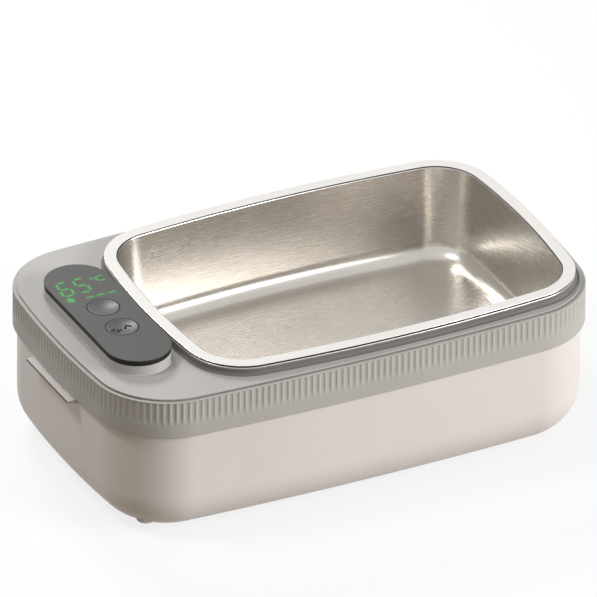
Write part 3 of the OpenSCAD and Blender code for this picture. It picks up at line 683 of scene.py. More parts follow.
def trim(
    piece: bpy.types.Object, finish: Finish, chosen: Callable[[np.ndarray, np.ndarray], np.ndarray]
) -> None:
    """Puts another finish on some of a piece's faces.

    Args:
        piece: the piece.
        finish: what the faces get.
        chosen: says which: it gets their middles (n, 3), in millimetres, and normals (n, 3).
    """
    polygons = piece.data.polygons
    middle, normal = (np.empty(len(polygons) * 3, np.float32) for _ in range(2))
    polygons.foreach_get("center", middle)
    polygons.foreach_get("normal", normal)
    slot = np.empty(len(polygons), np.int32)
    polygons.foreach_get("material_index", slot)
    slot[chosen(middle.reshape(-1, 3) / MM, normal.reshape(-1, 3))] = len(piece.data.materials)
    piece.data.materials.append(finish.build())
    polygons.foreach_set("material_index", slot)


# ---------------------------------------------------------------- levels shared by the sub-assemblies
@dataclass(frozen=True)
class Levels:
    """Heights above the table, as in the CAD."""

    foot: float = 2.0
    shell: float = 0.8
    floor: float = 3.4
    seam: float = 57.6
    tongue: float = 62.6
    band_top: float = 77.2
    deck_under: float = 76.0
    deck: float = 78.4
    lip: float = 81.4
    flange: float = 82.2
    rim_under: float = 82.9
    rim_top: float = 83.5
    plinth: float = 83.5
    panel: float = 85.9
    film: float = 86.2
    panel_top: float = 86.5
    tray_floor: float = 36.0
    well_floor: float = 35.2


LEVEL = Levels()
BODY = Outline(length=260.0, width=160.6, corner_r=38.0, bow_long=4.6, bow_short=6.6)
RIM = Outline(length=208.0, width=147.8, corner_r=29.4, bow_long=6.6, bow_short=7.0, mid_x=21.4)
CORNER_SCREW = (-108.0, 56.0)
SIDES = (-1, 1)
MID_SCREWS = [(RIM.mid_x + sx * 46, sy * 22) for sx in SIDES for sy in SIDES]
BOARD_SCREWS = [(-102.2 + sx * 15.0, -0.4 + sy * 43.8) for sx in SIDES for sy in SIDES]
FEET = [(sx * 88.0, sy * 42.0) for sx in SIDES for sy in SIDES]


@dataclass
class Shell:
    """The white tub: its skin, catch ledges and screw bosses.

    ledge_face gives the corners of a ledge's outer face: inwards from the tip, below the top, and
    radius. ledge_ends gives how far the section is drawn in at distances from a ledge's end. web_out is
    the reach of the web under it, above and below. Faces that lean more than face_lean to the side get
    painted shade: dark grey where shade falls under the ledge. A boss is its radius, foot, top and the
    seat of its screw's head, and a post its radius, foot and top. inlet is where the power inlet's mouth
    is, and slot_reach the slot's depth and clearance.
    """

    inset: float = 2.2
    wall: float = 2.6
    fillet: float = 22.0
    fillet_steps: int = 14
    tongue_in: float = 3.2
    ledge_half: float = 22.5
    ledge_root: float = 126.0
    ledge_tip: float = 134.0
    ledge_drop: float = 0.2
    ledge_t: float = 1.4
    ledge_web: float = 1.2
    web_out: tuple[float, float] = (2.6, 1.4)
    ledge_face: tuple[tuple[float, float, float], ...] = (
        (0.7, 0.0, 0.15), (0.25, 0.95, 0.15), (1.0, 1.4, 0.25))
    ledge_ends: tuple[tuple[float, float], ...] = ((0.0, 0.1), (0.08, 0.05), (0.3, 0.0))
    face_lean: float = 0.7
    screw_hole: float = 2.8
    screw_clear: float = 1.65
    foot_hole: float = 8.2
    corner_boss: tuple[float, float, float, float] = (4.6, 4.4, 62.1, 54.1)
    mid_boss: tuple[float, float, float, float] = (4.4, 3.0, 24.2, 13.7)
    post: tuple[float, float, float] = (3.0, 3.0, 23.7)
    post_at: tuple[float, float] = (8.0, 49.9)
    inlet: tuple[float, float, float] = (-86.0, 75.3, 27.0)
    slot_r: float = 2.0
    slot_half: float = 2.8
    slot_reach: tuple[float, float] = (6.0, 10.0)

    def tub(self) -> bpy.types.Object:
        """Skin of the tub: its section, carried round the body outline, with holes cut in it.

        The section runs from the floor's outside up the wall, over the tongue and back down inside.

        Returns:
            The piece.
        """
        inner, centre = self.inset + self.wall, self.inset + self.fillet + 0.5
        path = rounded([
            (centre, LEVEL.shell, 0), (self.inset, LEVEL.shell, self.fillet),
            (self.inset, LEVEL.seam, 0.15), (self.tongue_in, LEVEL.seam, 0.1),
            (self.tongue_in, LEVEL.tongue, 0.2), (inner, LEVEL.tongue, 0.2),
            (inner, LEVEL.floor, self.fillet - self.wall), (centre, LEVEL.floor, 0),
        ], steps=self.fillet_steps)
        below, reach = -1.0, LEVEL.floor + 4
        screws = MID_SCREWS + [(CORNER_SCREW[0], s * CORNER_SCREW[1]) for s in SIDES]
        tools = [
            lathe(x, y, np.array([(radius, below), (radius, top)]))
            for spots, radius, top in ((FEET, self.foot_hole, LEVEL.foot), (screws, self.screw_hole, reach))
            for x, y in spots
        ]
        (x, y, z), (near, far) = self.inlet, self.slot_reach
        slot = Stadium(x, z, self.slot_r, self.slot_half, along_y=False, count=48)
        tools.append(slot.skin(np.array([(0.0, y - near), (0.0, y + far)]), to_back=True))
        return cut(BODY.skin(path).make("tub"), tools)

    def ledge(self, side: int) -> Cage:
        """A catch ledge: a flat bar carried along Y, its edges rounded and its ends drawn in a little.

        A section point that is a away from the bar's middle moves in by 2 a draw / max(2, |a|).

        Args:
            side: -1 at the control end, 1 at the other.

        Returns:
            The cage.
        """
        root, half, top = self.ledge_root, self.ledge_half, LEVEL.seam - self.ledge_drop
        low, foot = top - self.ledge_t, top - self.ledge_t - self.ledge_web
        face = [(self.ledge_tip - a, top - down, r) for a, down, r in self.ledge_face]
        wide, narrow = self.web_out
        web = [(root + wide, low, 0.5), (root + narrow, foot, 0.1), (root, foot, 0.1)]
        path = rounded([(root, top, 0.1), *face, *web], closed=True, steps=6, guard=0.2)
        mid = np.array([root + 4, (top + low) / 2])
        spots = [(-half + a, draw) for a, draw in self.ledge_ends]
        spots += [(half - a, draw) for a, draw in reversed(self.ledge_ends)]
        rings = []
        for y, draw in spots:
            away = path - mid
            p = mid + away * (1 - 2 * draw / np.maximum(2, np.abs(away)))
            rings.append(np.stack([side * p[:, 0], np.full(len(p), y), p[:, 1]], axis=1))
        return Cage.grid(np.stack(rings), caps=True).outward()

    def boss(self, x: float, y: float, size: tuple[float, float, float, float]) -> Cage:
        """A screw boss: a tube, wide below the screw's head and close round its thread.

        Args:
            x: its axis's x.
            y: its axis's y.
            size: its radius, foot, top and the seat of the head.

        Returns:
            The cage.
        """
        radius, low, high, seat = size
        section = rounded([
            (self.screw_hole, low, 0.1), (radius, low, 0.1), (radius, high, 0.3),
            (self.screw_clear, high, 0.2), (self.screw_clear, seat, 0.1), (self.screw_hole, seat, 0.1),
        ], closed=True, steps=3, guard=0.2)
        return lathe(x, y, section, closed=True)

    def build(self) -> None:
        """Makes the tub, both ledges and the bosses."""
        keep(self.tub(), SHELL_ABS, "case", "shell_plastic", "base_shell")
        ledges = Cage.join([self.ledge(s) for s in SIDES]).make("catch_ledges")
        keep(ledges, SHELL_ABS, "case", "shell_plastic")
        # Painted shade: the ledges' outer faces are coloured dark grey where shade falls under them
        trim(ledges, PAINTED_SHADE_GREY, lambda at, way: np.abs(way[:, 0]) > self.face_lean)
        x, y = CORNER_SCREW
        radius, low, high = self.post
        post = rounded([(radius, low, 0), (radius, high, 0)])
        bosses = [self.boss(x, s * y, self.corner_boss) for s in SIDES]
        bosses += [self.boss(*at, self.mid_boss) for at in MID_SCREWS]
        bosses += [lathe(self.inlet[0] + s * self.post_at[0], self.post_at[1], post) for s in SIDES]
        keep(Cage.join(bosses).make("shell_bosses"), SHELL_ABS, "case", "shell_plastic")


@dataclass
class Collar:
    """The grey collar: ribbed band, deck with its lip, plinth of the panel and screw posts.

    row_plain and rows_mid are heights of rings on the band below the ribs and on their straight part.
    band_back is the band's section inside, from its top down. A post is its radius, its hole's radius,
    its foot and the hole's end.
    """

    ribs: int = 238
    per_rib: int = 10
    rib_low: float = 63.7
    rib_high: float = 76.85
    rib_depth: float = 0.4
    rib_share: float = 0.58
    rib_fade: float = 5.0
    row_plain: float = 60.5
    rows_mid: tuple[float, float] = (71.0, 74.5)
    band_round: float = 0.3
    band_back: tuple[tuple[float, float], ...] = ((3.4, 76.2), (3.0, 76.2), (3.0, 58.5), (2.2, 58.5))
    deck_edge: float = 1.8
    deck_round: float = 0.2
    shadow_gap: float = 0.6
    flare: float = 1.5
    band_t: float = 0.08
    band_in: float = 0.6
    lip_t: float = 3.3
    lip_step: float = 2.0
    lip_foot: float = 65.4
    panel_x: float = -101.6
    panel_r: float = 16.2
    panel_half: float = 32.55
    plinth_flare: float = 0.8
    plinth_sunk: float = 0.3
    pocket: float = 2.6
    corner_post: tuple[float, float, float, float] = (4.2, 1.5, 62.1, 68.6)
    board_post: tuple[float, float, float, float] = (2.2, 1.05, 74.6, 76.4)
    post_top: float = 76.6

    def band(self) -> bpy.types.Object:
        """The ribbed band: a closed section carried round the body outline, with ribs along it.

        The ribs' tops are level with the band, and the land between them is sunk. At a distance u from
        a rib's middle line the surface lies depth x min(1, (2u/width) squared) in, which grows from
        nothing at the ribs' low end over fade and at their high end over a tenth of it.

        Returns:
            The piece.
        """
        outline = replace(BODY, count=self.ribs * self.per_rib)
        top, low = LEVEL.band_top, LEVEL.seam
        lap, step = self.band_back[0]
        rows = np.concatenate([
            [low + 0.7, self.row_plain], np.linspace(self.rib_low, self.rib_low + self.rib_fade, 8),
            self.rows_mid, np.linspace(step, self.rib_high - 0.05, 5),
        ])
        foot = rounded([(self.band_back[-1][0], low, 0.1), (0, low, 0.45), (0, low + 0.6, 0)], steps=5)
        head = rounded([(0, self.rib_high, 0), (0, top, self.band_round), (lap, top, 0)], steps=6)
        flat = np.stack([np.zeros_like(rows), rows], axis=1)
        path = np.concatenate([foot, flat, head, self.band_back])
        rings = outline.rings(path)
        _, normals = outline.base()
        perimeter = np.linalg.norm(np.roll(rings[0], -1, 0) - rings[0], axis=1).sum()
        pitch = perimeter / self.ribs
        u = ((np.arange(outline.count) % self.per_rib) / self.per_rib - 0.5) * pitch
        across = np.minimum(1, (2 * u / (self.rib_share * pitch)) ** 2)
        rise = np.clip((path[:, 1] - self.rib_low) / self.rib_fade, 0, 1)
        fall = np.clip((self.rib_high - path[:, 1]) / (self.rib_fade / 10), 0, 1)
        along = rise * rise * (3 - 2 * rise) * np.sqrt(fall) * (path[:, 0] == 0)
        sunk = self.rib_depth * along[:, None] * across[None, :]
        rings[:, :, :2] -= sunk[:, :, None] * normals[None]
        return Cage.grid(rings, closed=True).outward().make("collar_band", sharp=60)

    def deck(self) -> bpy.types.Object:
        """The deck and its lip: a section that crosses from the body outline to the rim outline.

        Its outer edge stands over the band, with a groove below it.

        Returns:
            The piece.
        """
        top, under = LEVEL.deck, LEVEL.deck_under
        lower, lip_in = LEVEL.band_top + self.shadow_gap, self.lip_t - self.lip_step
        outer = rounded([
            (3.0, under - 0.1, 0), (3.0, lower - 0.15, 0.1), (self.deck_edge, lower, 0.08),
            (self.deck_edge, top, self.deck_round), (3.4, top, 0),
        ], steps=5, guard=0.1)
        inner = rounded([
            (-self.flare - 0.3, top, 0), (0.0, top, self.flare), (0.1, LEVEL.lip, 0.15),
            (self.lip_t, LEVEL.lip, 0.15), (self.lip_t, self.lip_foot, 0.2),
            (lip_in, self.lip_foot, 0.2), (lip_in, under, 0.2), (0.3, under, 0),
        ])
        back = np.array([(4.5, under)])
        rings = np.concatenate([BODY.rings(outer), RIM.rings(inner), BODY.rings(back)])
        piece = Cage.grid(rings, closed=True).outward().make("collar_deck")
        pocket = np.array([(self.pocket, under - 1), (self.pocket, top + 1)])
        return cut(piece, [self.panel().skin(pocket)])

    def lip_shade_sheet(self) -> bpy.types.Object:
        """A thin dark sheet of painted shade on the lip, from the well's flange down over the foot to the
        deck, where shade falls under the rim.

        Returns:
            The piece.
        """
        t, inside = self.band_t, self.band_in
        deck, sunk, lip = LEVEL.deck + t, LEVEL.deck - 0.5, LEVEL.lip - 0.05
        path = rounded([
            (-self.flare, deck, 0.02), (-t, deck, self.flare - t), (0.1 - t, lip, 0.05),
            (inside, lip, 0.05), (inside, sunk, 0.05), (-self.flare, sunk, 0.05),
        ], closed=True, guard=0.15)
        return RIM.skin(path, closed=True).make("lip_shade_sheet")

    def panel(self) -> Stadium:
        """The panel's outline."""
        return Stadium(self.panel_x, 0.0, self.panel_r, self.panel_half, count=240)

    def plinth(self) -> bpy.types.Object:
        """The panel's plinth: a ring with a flared foot that runs out into the deck.

        Returns:
            The piece.
        """
        top, high, sunk, flare = LEVEL.deck, LEVEL.plinth, LEVEL.deck - self.plinth_sunk, self.plinth_flare
        path = rounded([
            (-flare, sunk, 0.05), (-flare, top, 0.02), (0.0, top, flare - 0.1), (0.3, high, 0.15),
            (self.pocket, high, 0.1), (self.pocket, sunk, 0.1),
        ], closed=True)
        return self.panel().skin(path, closed=True).make("panel_plinth")

    def posts(self) -> bpy.types.Object:
        """The posts that take the corner screws and the control board's screws.

        Returns:
            The piece.
        """
        spots = [((CORNER_SCREW[0], s * CORNER_SCREW[1]), self.corner_post) for s in SIDES]
        spots += [(at, self.board_post) for at in BOARD_SCREWS]
        cages = []
        for at, (radius, hole, low, deep) in spots:
            section = rounded([
                (AXIS, deep, 0), (hole, deep, 0.1), (hole, low, 0.1), (radius, low, 0.2),
                (radius, self.post_top, 0.1), (AXIS, self.post_top, 0),
            ], steps=3, guard=0.2)
            cages.append(lathe(*at, section, count=48))
        return Cage.join(cages).make("collar_posts")

    def build(self) -> None:
        """Makes the collar's pieces, which together stand for its CAD node, and the sheet of painted shade on
        its lip.
        """
        for piece in (self.band(), self.deck(), self.plinth(), self.posts()):
            keep(piece, COLLAR_ABS, "case", "collar_plastic", "collar")
        # Painted shade: a thin dark sheet on the lip's wall, where shade falls under the rim
        keep(self.lip_shade_sheet(), PAINTED_SHADE_GREY, "case", "seal_rubber")


@dataclass
class Pan:
    """A pressed steel pan with a flat flange, as the well is that the tray stands in."""

    name: str
    node: str
    finish: Finish
    body: str
    slot: str
    top: float
    sheet: float
    edge: float
    flange: float
    roll: float
    floor: float
    low_in: float
    fillet: float = 9.0
    tuck: float = 0.0

    def build(self) -> bpy.types.Object:
        """Carries the pan's section round the rim outline: floor, outer wall, flange and back inside.

        The wall leans in from the flange's roll to low_in at the top of its floor round. The flange's
        underside is drawn in by tuck at its edge.

        Returns:
            The piece.
        """
        wall = self.flange + self.roll
        lean = (self.low_in - wall) / (self.top - self.floor - self.roll - self.fillet)
        high, low = wall - lean * self.roll, self.low_in + lean * self.fillet
        s, under = self.sheet, self.top - self.sheet
        mid = self.low_in + self.fillet + 0.6
        edge = [(self.edge, under, s * 0.45), (self.edge, self.top, s * 0.45)]
        if self.tuck:
            edge = [(self.edge + self.tuck, under, s * 0.3), (self.edge, self.top - s * 0.45, s * 0.2),
                    (self.edge, self.top, s * 0.25)]
        path = rounded([
            (mid, self.floor - s, 0), (low - s, self.floor - s, self.fillet + s),
            (high - s + lean * s, under, max(0.3, self.roll - s)), *edge,
            (high, self.top, self.roll), (low, self.floor, self.fillet), (mid, self.floor, 0),
        ], steps=10)
        return keep(RIM.skin(path).make(self.name), self.finish, self.body, self.slot, self.node)


@dataclass
class Tray(Pan):
    """The lift-out tray: a pan whose rim is smoother and painted lighter, a painted highlight, and whose bend
    inside it is painted dark, a painted reflection.
    """

    rim_depth: float = 0.7
    bend_depth: float = 0.95
    bend_lean: tuple[float, float] = (18.0, 64.0)

    def on_rim(self, at: np.ndarray, way: np.ndarray) -> np.ndarray:
        """Which faces with middles at, facing way, lie on the rim: those down to rim_depth."""
        return at[:, 2] > self.top - self.rim_depth

    def on_bend(self, at: np.ndarray, way: np.ndarray) -> np.ndarray:
        """Which faces lie on the bend between rim and bowl: they face inwards and lean by bend_lean.

        Args:
            at: the faces' middles (n, 3).
            way: their normals (n, 3).

        Returns:
            True or false for each face, (n,).
        """
        inward = np.sum((at - [RIM.mid_x, 0, 0])[:, :2] * way[:, :2], axis=1) < 0
        lean = np.degrees(np.arccos(np.clip(way[:, 2], -1, 1)))
        least, most = self.bend_lean
        return (at[:, 2] > self.top - self.bend_depth) & inward & (lean > least) & (lean < most)

    def build(self) -> bpy.types.Object:
        """Makes the pan, gives its rim smoother steel painted lighter, a painted highlight, and paints the
        bend dark, a painted reflection.

        Returns:
            The piece.
        """
        piece = super().build()
        # The rim's lighter colour is a painted highlight
        trim(piece, RIM_STEEL_PAINTED_LIGHT, self.on_rim)
        # Painted reflection: the bend is coloured dark for a dark room mirrored in it
        trim(piece, BEND_PAINTED_REFLECTION, self.on_bend)
        return piece


@dataclass
class Panel:
    """The control panel: gasket, frame, printed film and the lit signs that show through it.

    A stroke is its points and its width. One of four points, such as a digit's bar, tapers to its ends.
    """

    outline: Stadium
    gasket_in: float = 0.2
    gasket_out: float = 2.1
    tenon_in: float = 2.3
    tenon_drop: float = 0.4
    middle: float = 8.0
    button_x: float = -101.2
    button_y: tuple[float, float] = (-14.95, 5.45)
    hole: float = 8.1
    lift: float = 0.02
    sunk: float = 0.04
    segment: float = 1.35
    digit_lean: float = 0.12
    digit_gap: float = 0.75
    digit_y: float = 21.9
    digit_size: tuple[float, float] = (5.6, 12.4)
    digits: tuple[tuple[float, str], ...] = ((-113.9, "acdefg"), (-105.1, "acdfg"))
    bars_x: tuple[float, ...] = (-104.9, -99.4, -93.5)
    bars_y: float = 16.6
    battery_x: float = -112.4
    taper: float = 0.35
    strokes: list[tuple[list[tuple[float, float]], float]] = field(default_factory=list)

    def slab(self, name: str, corners: list[tuple[float, float, float]]) -> bpy.types.Object:
        """A closed slab of the outline with both button holes.

        Args:
            name: the piece's name.
            corners: its section from the middle below to the middle above.

        Returns:
            The piece.
        """
        bore = np.array([(self.hole, LEVEL.plinth - 2), (self.hole, LEVEL.panel_top + 2)])
        holes = [lathe(self.button_x, y, bore) for y in self.button_y]
        return cut(self.outline.skin(rounded(corners, steps=4, guard=0.15)).make(name), holes)

    def seven(self, x: float, lit: str) -> None:
        """Adds a seven-segment digit's lit bars, a to g from the top clockwise with g across.

        Args:
            x: left side.
            lit: letters of the lit bars.
        """
        (w, h), gap = self.digit_size, self.digit_gap
        ends = {
            "a": ((0, h), (w, h)), "b": ((w, h), (w, h / 2)), "c": ((w, h / 2), (w, 0)),
            "d": ((0, 0), (w, 0)), "e": ((0, h / 2), (0, 0)), "f": ((0, h), (0, h / 2)),
            "g": ((0, h / 2), (w, h / 2)),
        }
        for bar in lit:
            p = np.array(ends[bar])
            way = (p[1] - p[0]) / np.linalg.norm(p[1] - p[0]) * gap
            p = np.stack([p[0] + way, p[0] + way * 1.7, p[1] - way * 1.7, p[1] - way])
            p[:, 0] += self.digit_lean * p[:, 1]
            self.strokes.append(([(x + a, self.digit_y + b) for a, b in p], self.segment))

    def arc(self, x: float, y: float, r: float, start: float, end: float, width: float) -> None:
        """Adds a curved stroke about x, y from one angle in degrees to another."""
        a = np.radians(np.linspace(start, end, 25))
        self.strokes.append(([(x + r * math.cos(t), y + r * math.sin(t)) for t in a], width))

    def signs(self) -> bpy.types.Object:
        """The lit signs: a two-digit number, its degree sign, three level bars and a battery.

        Returns:
            The piece.
        """
        for left, lit in self.digits:
            self.seven(left, lit)
        self.arc(-94.6, 31.9, 0.9, 0, 350, 0.6)
        self.arc(-90.5, 30.8, 2.2, 45, 315, 1.05)
        for x in self.bars_x:
            self.strokes.append(([(x + a, self.bars_y) for a in (0, 1, 3.6, 4.6)], 1.3))
        for spots, width in (((15.5, 16.0, 18.9, 19.4), 3.6), ((19.7, 20.0, 20.1, 20.5), 1.6)):
            self.strokes.append(([(self.battery_x, y) for y in spots], width))

        def level(at: np.ndarray) -> np.ndarray:
            """The same height everywhere: the signs' top."""
            return np.full(len(at), LEVEL.panel_top + self.lift)

        cages = []
        for points, width in self.strokes:
            w = np.full(len(points), width)
            if len(points) == 4:
                w[[0, -1]] *= self.taper
            cages.append(ribbon(np.array(points, float), w, level, self.sunk, 0.0))
        return Cage.join(cages).make("display_signs", sharp=20)

    def build(self) -> None:
        """Makes the gasket, the frame, the film and the signs."""
        low, high, film, top = LEVEL.plinth, LEVEL.panel, LEVEL.film, LEVEL.panel_top
        near, far, tenon, foot = self.gasket_in, self.gasket_out, self.tenon_in, low + self.tenon_drop
        ring = rounded([(near, low, 0.15), (near, high, 0.15), (far, high, 0.1), (far, low, 0.1)],
                       closed=True, steps=4)
        gasket = self.outline.skin(ring, closed=True).make("panel_gasket")
        keep(gasket, SILICONE, "case", "seal_rubber", "panel_seal")
        frame_piece = self.slab("panel_frame", [
            (self.middle, foot, 0), (tenon, foot, 0.2), (tenon, high, 0.05),
            (0.0, high, 0.1), (0.0, film, 0.05), (self.middle, film, 0)])
        keep(frame_piece, PANEL_ABS, "case", "panel_plastic", "control_panel")
        film_piece = self.slab("panel_film", [
            (self.middle, film, 0), (0.0, film, 0.05), (0.05, top, 0.22), (self.middle, top, 0)])
        keep(film_piece, PANEL_FILM, "case", "panel_film", "panel_overlay")
        keep(self.signs(), GLOW_GREEN, "case", "display_plastic")


@dataclass
class Button:
    """A push button with a dished face, and a printed mark where it has one."""

    name: str
    node: str
    body: str
    x: float
    y: float
    marked: bool
    radius: float = 7.7
    dish_r: float = 7.3
    edge: float = 86.6
    depth: float = 1.3
    stem_r: float = 2.0
    stem: float = 2.0
    flange_r: float = 9.2
    flange_t: float = 1.0
    flange_drop: float = 1.2

    def dish(self, d: np.ndarray | float) -> np.ndarray:
        """Height of the dish at a distance d from its axis.

        The face is part of a sphere: edge - depth + r - sqrt(r squared - d squared).

        Args:
            d: the distance.

        Returns:
            The height above the table.
        """
        r = bow_radius(self.dish_r, self.depth)
        return self.edge - self.depth + r - np.sqrt(r * r - d * d)

    def build(self) -> None:
        """Turns the button's section about its axis: stem, keeper flange, wall, lip and dish."""
        low = LEVEL.plinth - self.flange_drop
        high, foot, inner = low + self.flange_t, low - self.stem, self.dish_r - 1
        wall = rounded([
            (AXIS, foot, 0), (self.stem_r, foot, 0.2), (self.stem_r, low, 0.1), (self.flange_r, low, 0.15),
            (self.flange_r, high, 0.15), (self.radius, high, 0.1), (self.radius, self.edge, 0.2),
            (self.dish_r, self.edge, 0.15), (inner, float(self.dish(inner)), 0),
        ], steps=4, guard=0.12)
        d = np.linspace(self.dish_r - 1.3, AXIS, 24)
        section = np.concatenate([wall, np.stack([d, self.dish(d)], axis=1)])
        piece = lathe(self.x, self.y, section, count=96).make(self.name)
        keep(piece, BUTTON_ABS, self.body, "button_plastic", self.node)
        if self.marked:
            keep(self.mark(), INK, self.body, "button_plastic")

    def mark(self) -> bpy.types.Object:
        """The printed mark: an on-off sign, a stroke and a chevron, laid in the dish.

        Returns:
            The piece.
        """
        a = np.radians(np.linspace(130, 410, 25))
        strokes = [
            (np.stack([-4.0 + 1.8 * np.cos(a), -1.2 + 1.8 * np.sin(a)], axis=1), 0.9),
            (np.array([(-4.0, -1.0), (-4.0, 0.2), (-4.0, 1.3)]), 0.9),
            (np.array([(-1.1, -1.6), (-0.8, -0.9), (-0.5, -0.2)]), 1.0),
            (np.array([(1.2, -0.9), (2.1, 0.4), (3.0, 1.6), (3.9, 0.5), (4.9, -0.8)]), 1.0),
        ]
        centre = np.array([self.x, self.y])

        def face(at: np.ndarray) -> np.ndarray:
            """The dish's height at points of the plane."""
            return self.dish(np.linalg.norm(at - centre, axis=1))

        cages = [ribbon(p + centre, np.full(len(p), width), face, 0.08, 0.03) for p, width in strokes]
        return Cage.join(cages).make(self.name + "_mark")


@dataclass
class Fittings:
    """Small pieces and the finishes of the CAD nodes that are kept as they are."""

    kept: dict[str, Finish] = field(default_factory=lambda: {
        "case_seal": SILICONE, "well_wrap": FELT, "heater_film": HEATER, "felt_pad": FELT,
        "clamp_plate": ZINC, "clamp_nuts": BRASS, "standoffs": ZINC, "thermistor": ANODISED,
        "thermal_fuse": CERAMIC, "control_board": BOARD, "board_parts": EPOXY, "key_switches": EPOXY,
        "display_block": LIGHT_BOX, "buzzer": EPOXY, "board_screws": ZINC, "battery_cells": SLEEVE,
        "cell_holder": HOLDER, "cell_strips": NICKEL, "protection_board": BOARD, "charge_board": BOARD,
        "heater_leads": LEAD_RED, "battery_leads": LEAD_RED, "charge_leads": LEAD_YELLOW,
        "sensor_lead": LEAD_WHITE, "case_screws": ZINC,
    })
    foot_r: float = 8.0
    gasket: tuple[float, float] = (0.35, 3.3)
    mouth_r: float = 1.6
    mouth_half: float = 2.8
    mouth_wall: float = 0.35
    mouth_depth: float = 7.3
    mouth_end: float = 8.5
    tongue_r: float = 0.35
    tongue_half: float = 2.9

    def feet(self) -> bpy.types.Object:
        """Four round rubber feet, turned with a soft lower edge.

        Returns:
            The piece.
        """
        r, top = self.foot_r, LEVEL.foot
        section = rounded([(AXIS, 0.0, 0), (r, 0.0, 0.45), (r, top, 0.1), (AXIS, top, 0)], steps=5)
        return Cage.join([lathe(x, y, section) for x, y in FEET]).make("feet_pads")

    def tray_gasket(self) -> bpy.types.Object:
        """The seal between the well's flange and the tray's rim.

        Returns:
            The piece.
        """
        (near, far), low, high = self.gasket, LEVEL.flange, LEVEL.rim_under
        path = rounded([(near, low, 0.12), (near, high, 0.12), (far, high, 0.15), (far, low, 0.15)],
                       closed=True, steps=4, guard=0.1)
        return RIM.skin(path, closed=True).make("tray_gasket")

    def inlet(self) -> bpy.types.Object:
        """The power inlet: a flat oval tube with a tongue in it, its mouth to the back.

        Returns:
            The piece.
        """
        x, y, z = Shell().inlet
        wall, deep, end, inner = self.mouth_wall, y - self.mouth_depth, y - self.mouth_end, 1.2
        tube = Stadium(x, z, self.mouth_r, self.mouth_half, along_y=False, count=48)
        path = rounded([(0, end, 0.1), (0, y, 0.12), (wall, y, 0.12), (wall, deep, 0.1),
                        (inner, deep, 0.1), (inner, end, 0.1)], closed=True, steps=3, guard=0.1)
        tongue = Stadium(x, z, self.tongue_r, self.tongue_half, along_y=False, count=32)
        bar = np.array([(0.0, y - 7.5), (0.0, y - 1.4), (0.12, y - 1.2)])
        cages = [tube.skin(path, closed=True, to_back=True), tongue.skin(bar, to_back=True)]
        return Cage.join(cages).make("inlet_mouth")

    def build(self) -> None:
        """Makes the small pieces and dresses every kept CAD node."""
        keep(self.feet(), FOOT_RUBBER, "case", "foot_rubber", "feet")
        keep(self.tray_gasket(), SILICONE, "case", "seal_rubber", "tray_seal")
        keep(self.inlet(), ZINC, "case", "inlet_steel", "power_inlet")
        for node, finish in self.kept.items():
            finish.put_on(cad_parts[node])
            LOG.info("%s: CAD node in %s", node, finish.name)


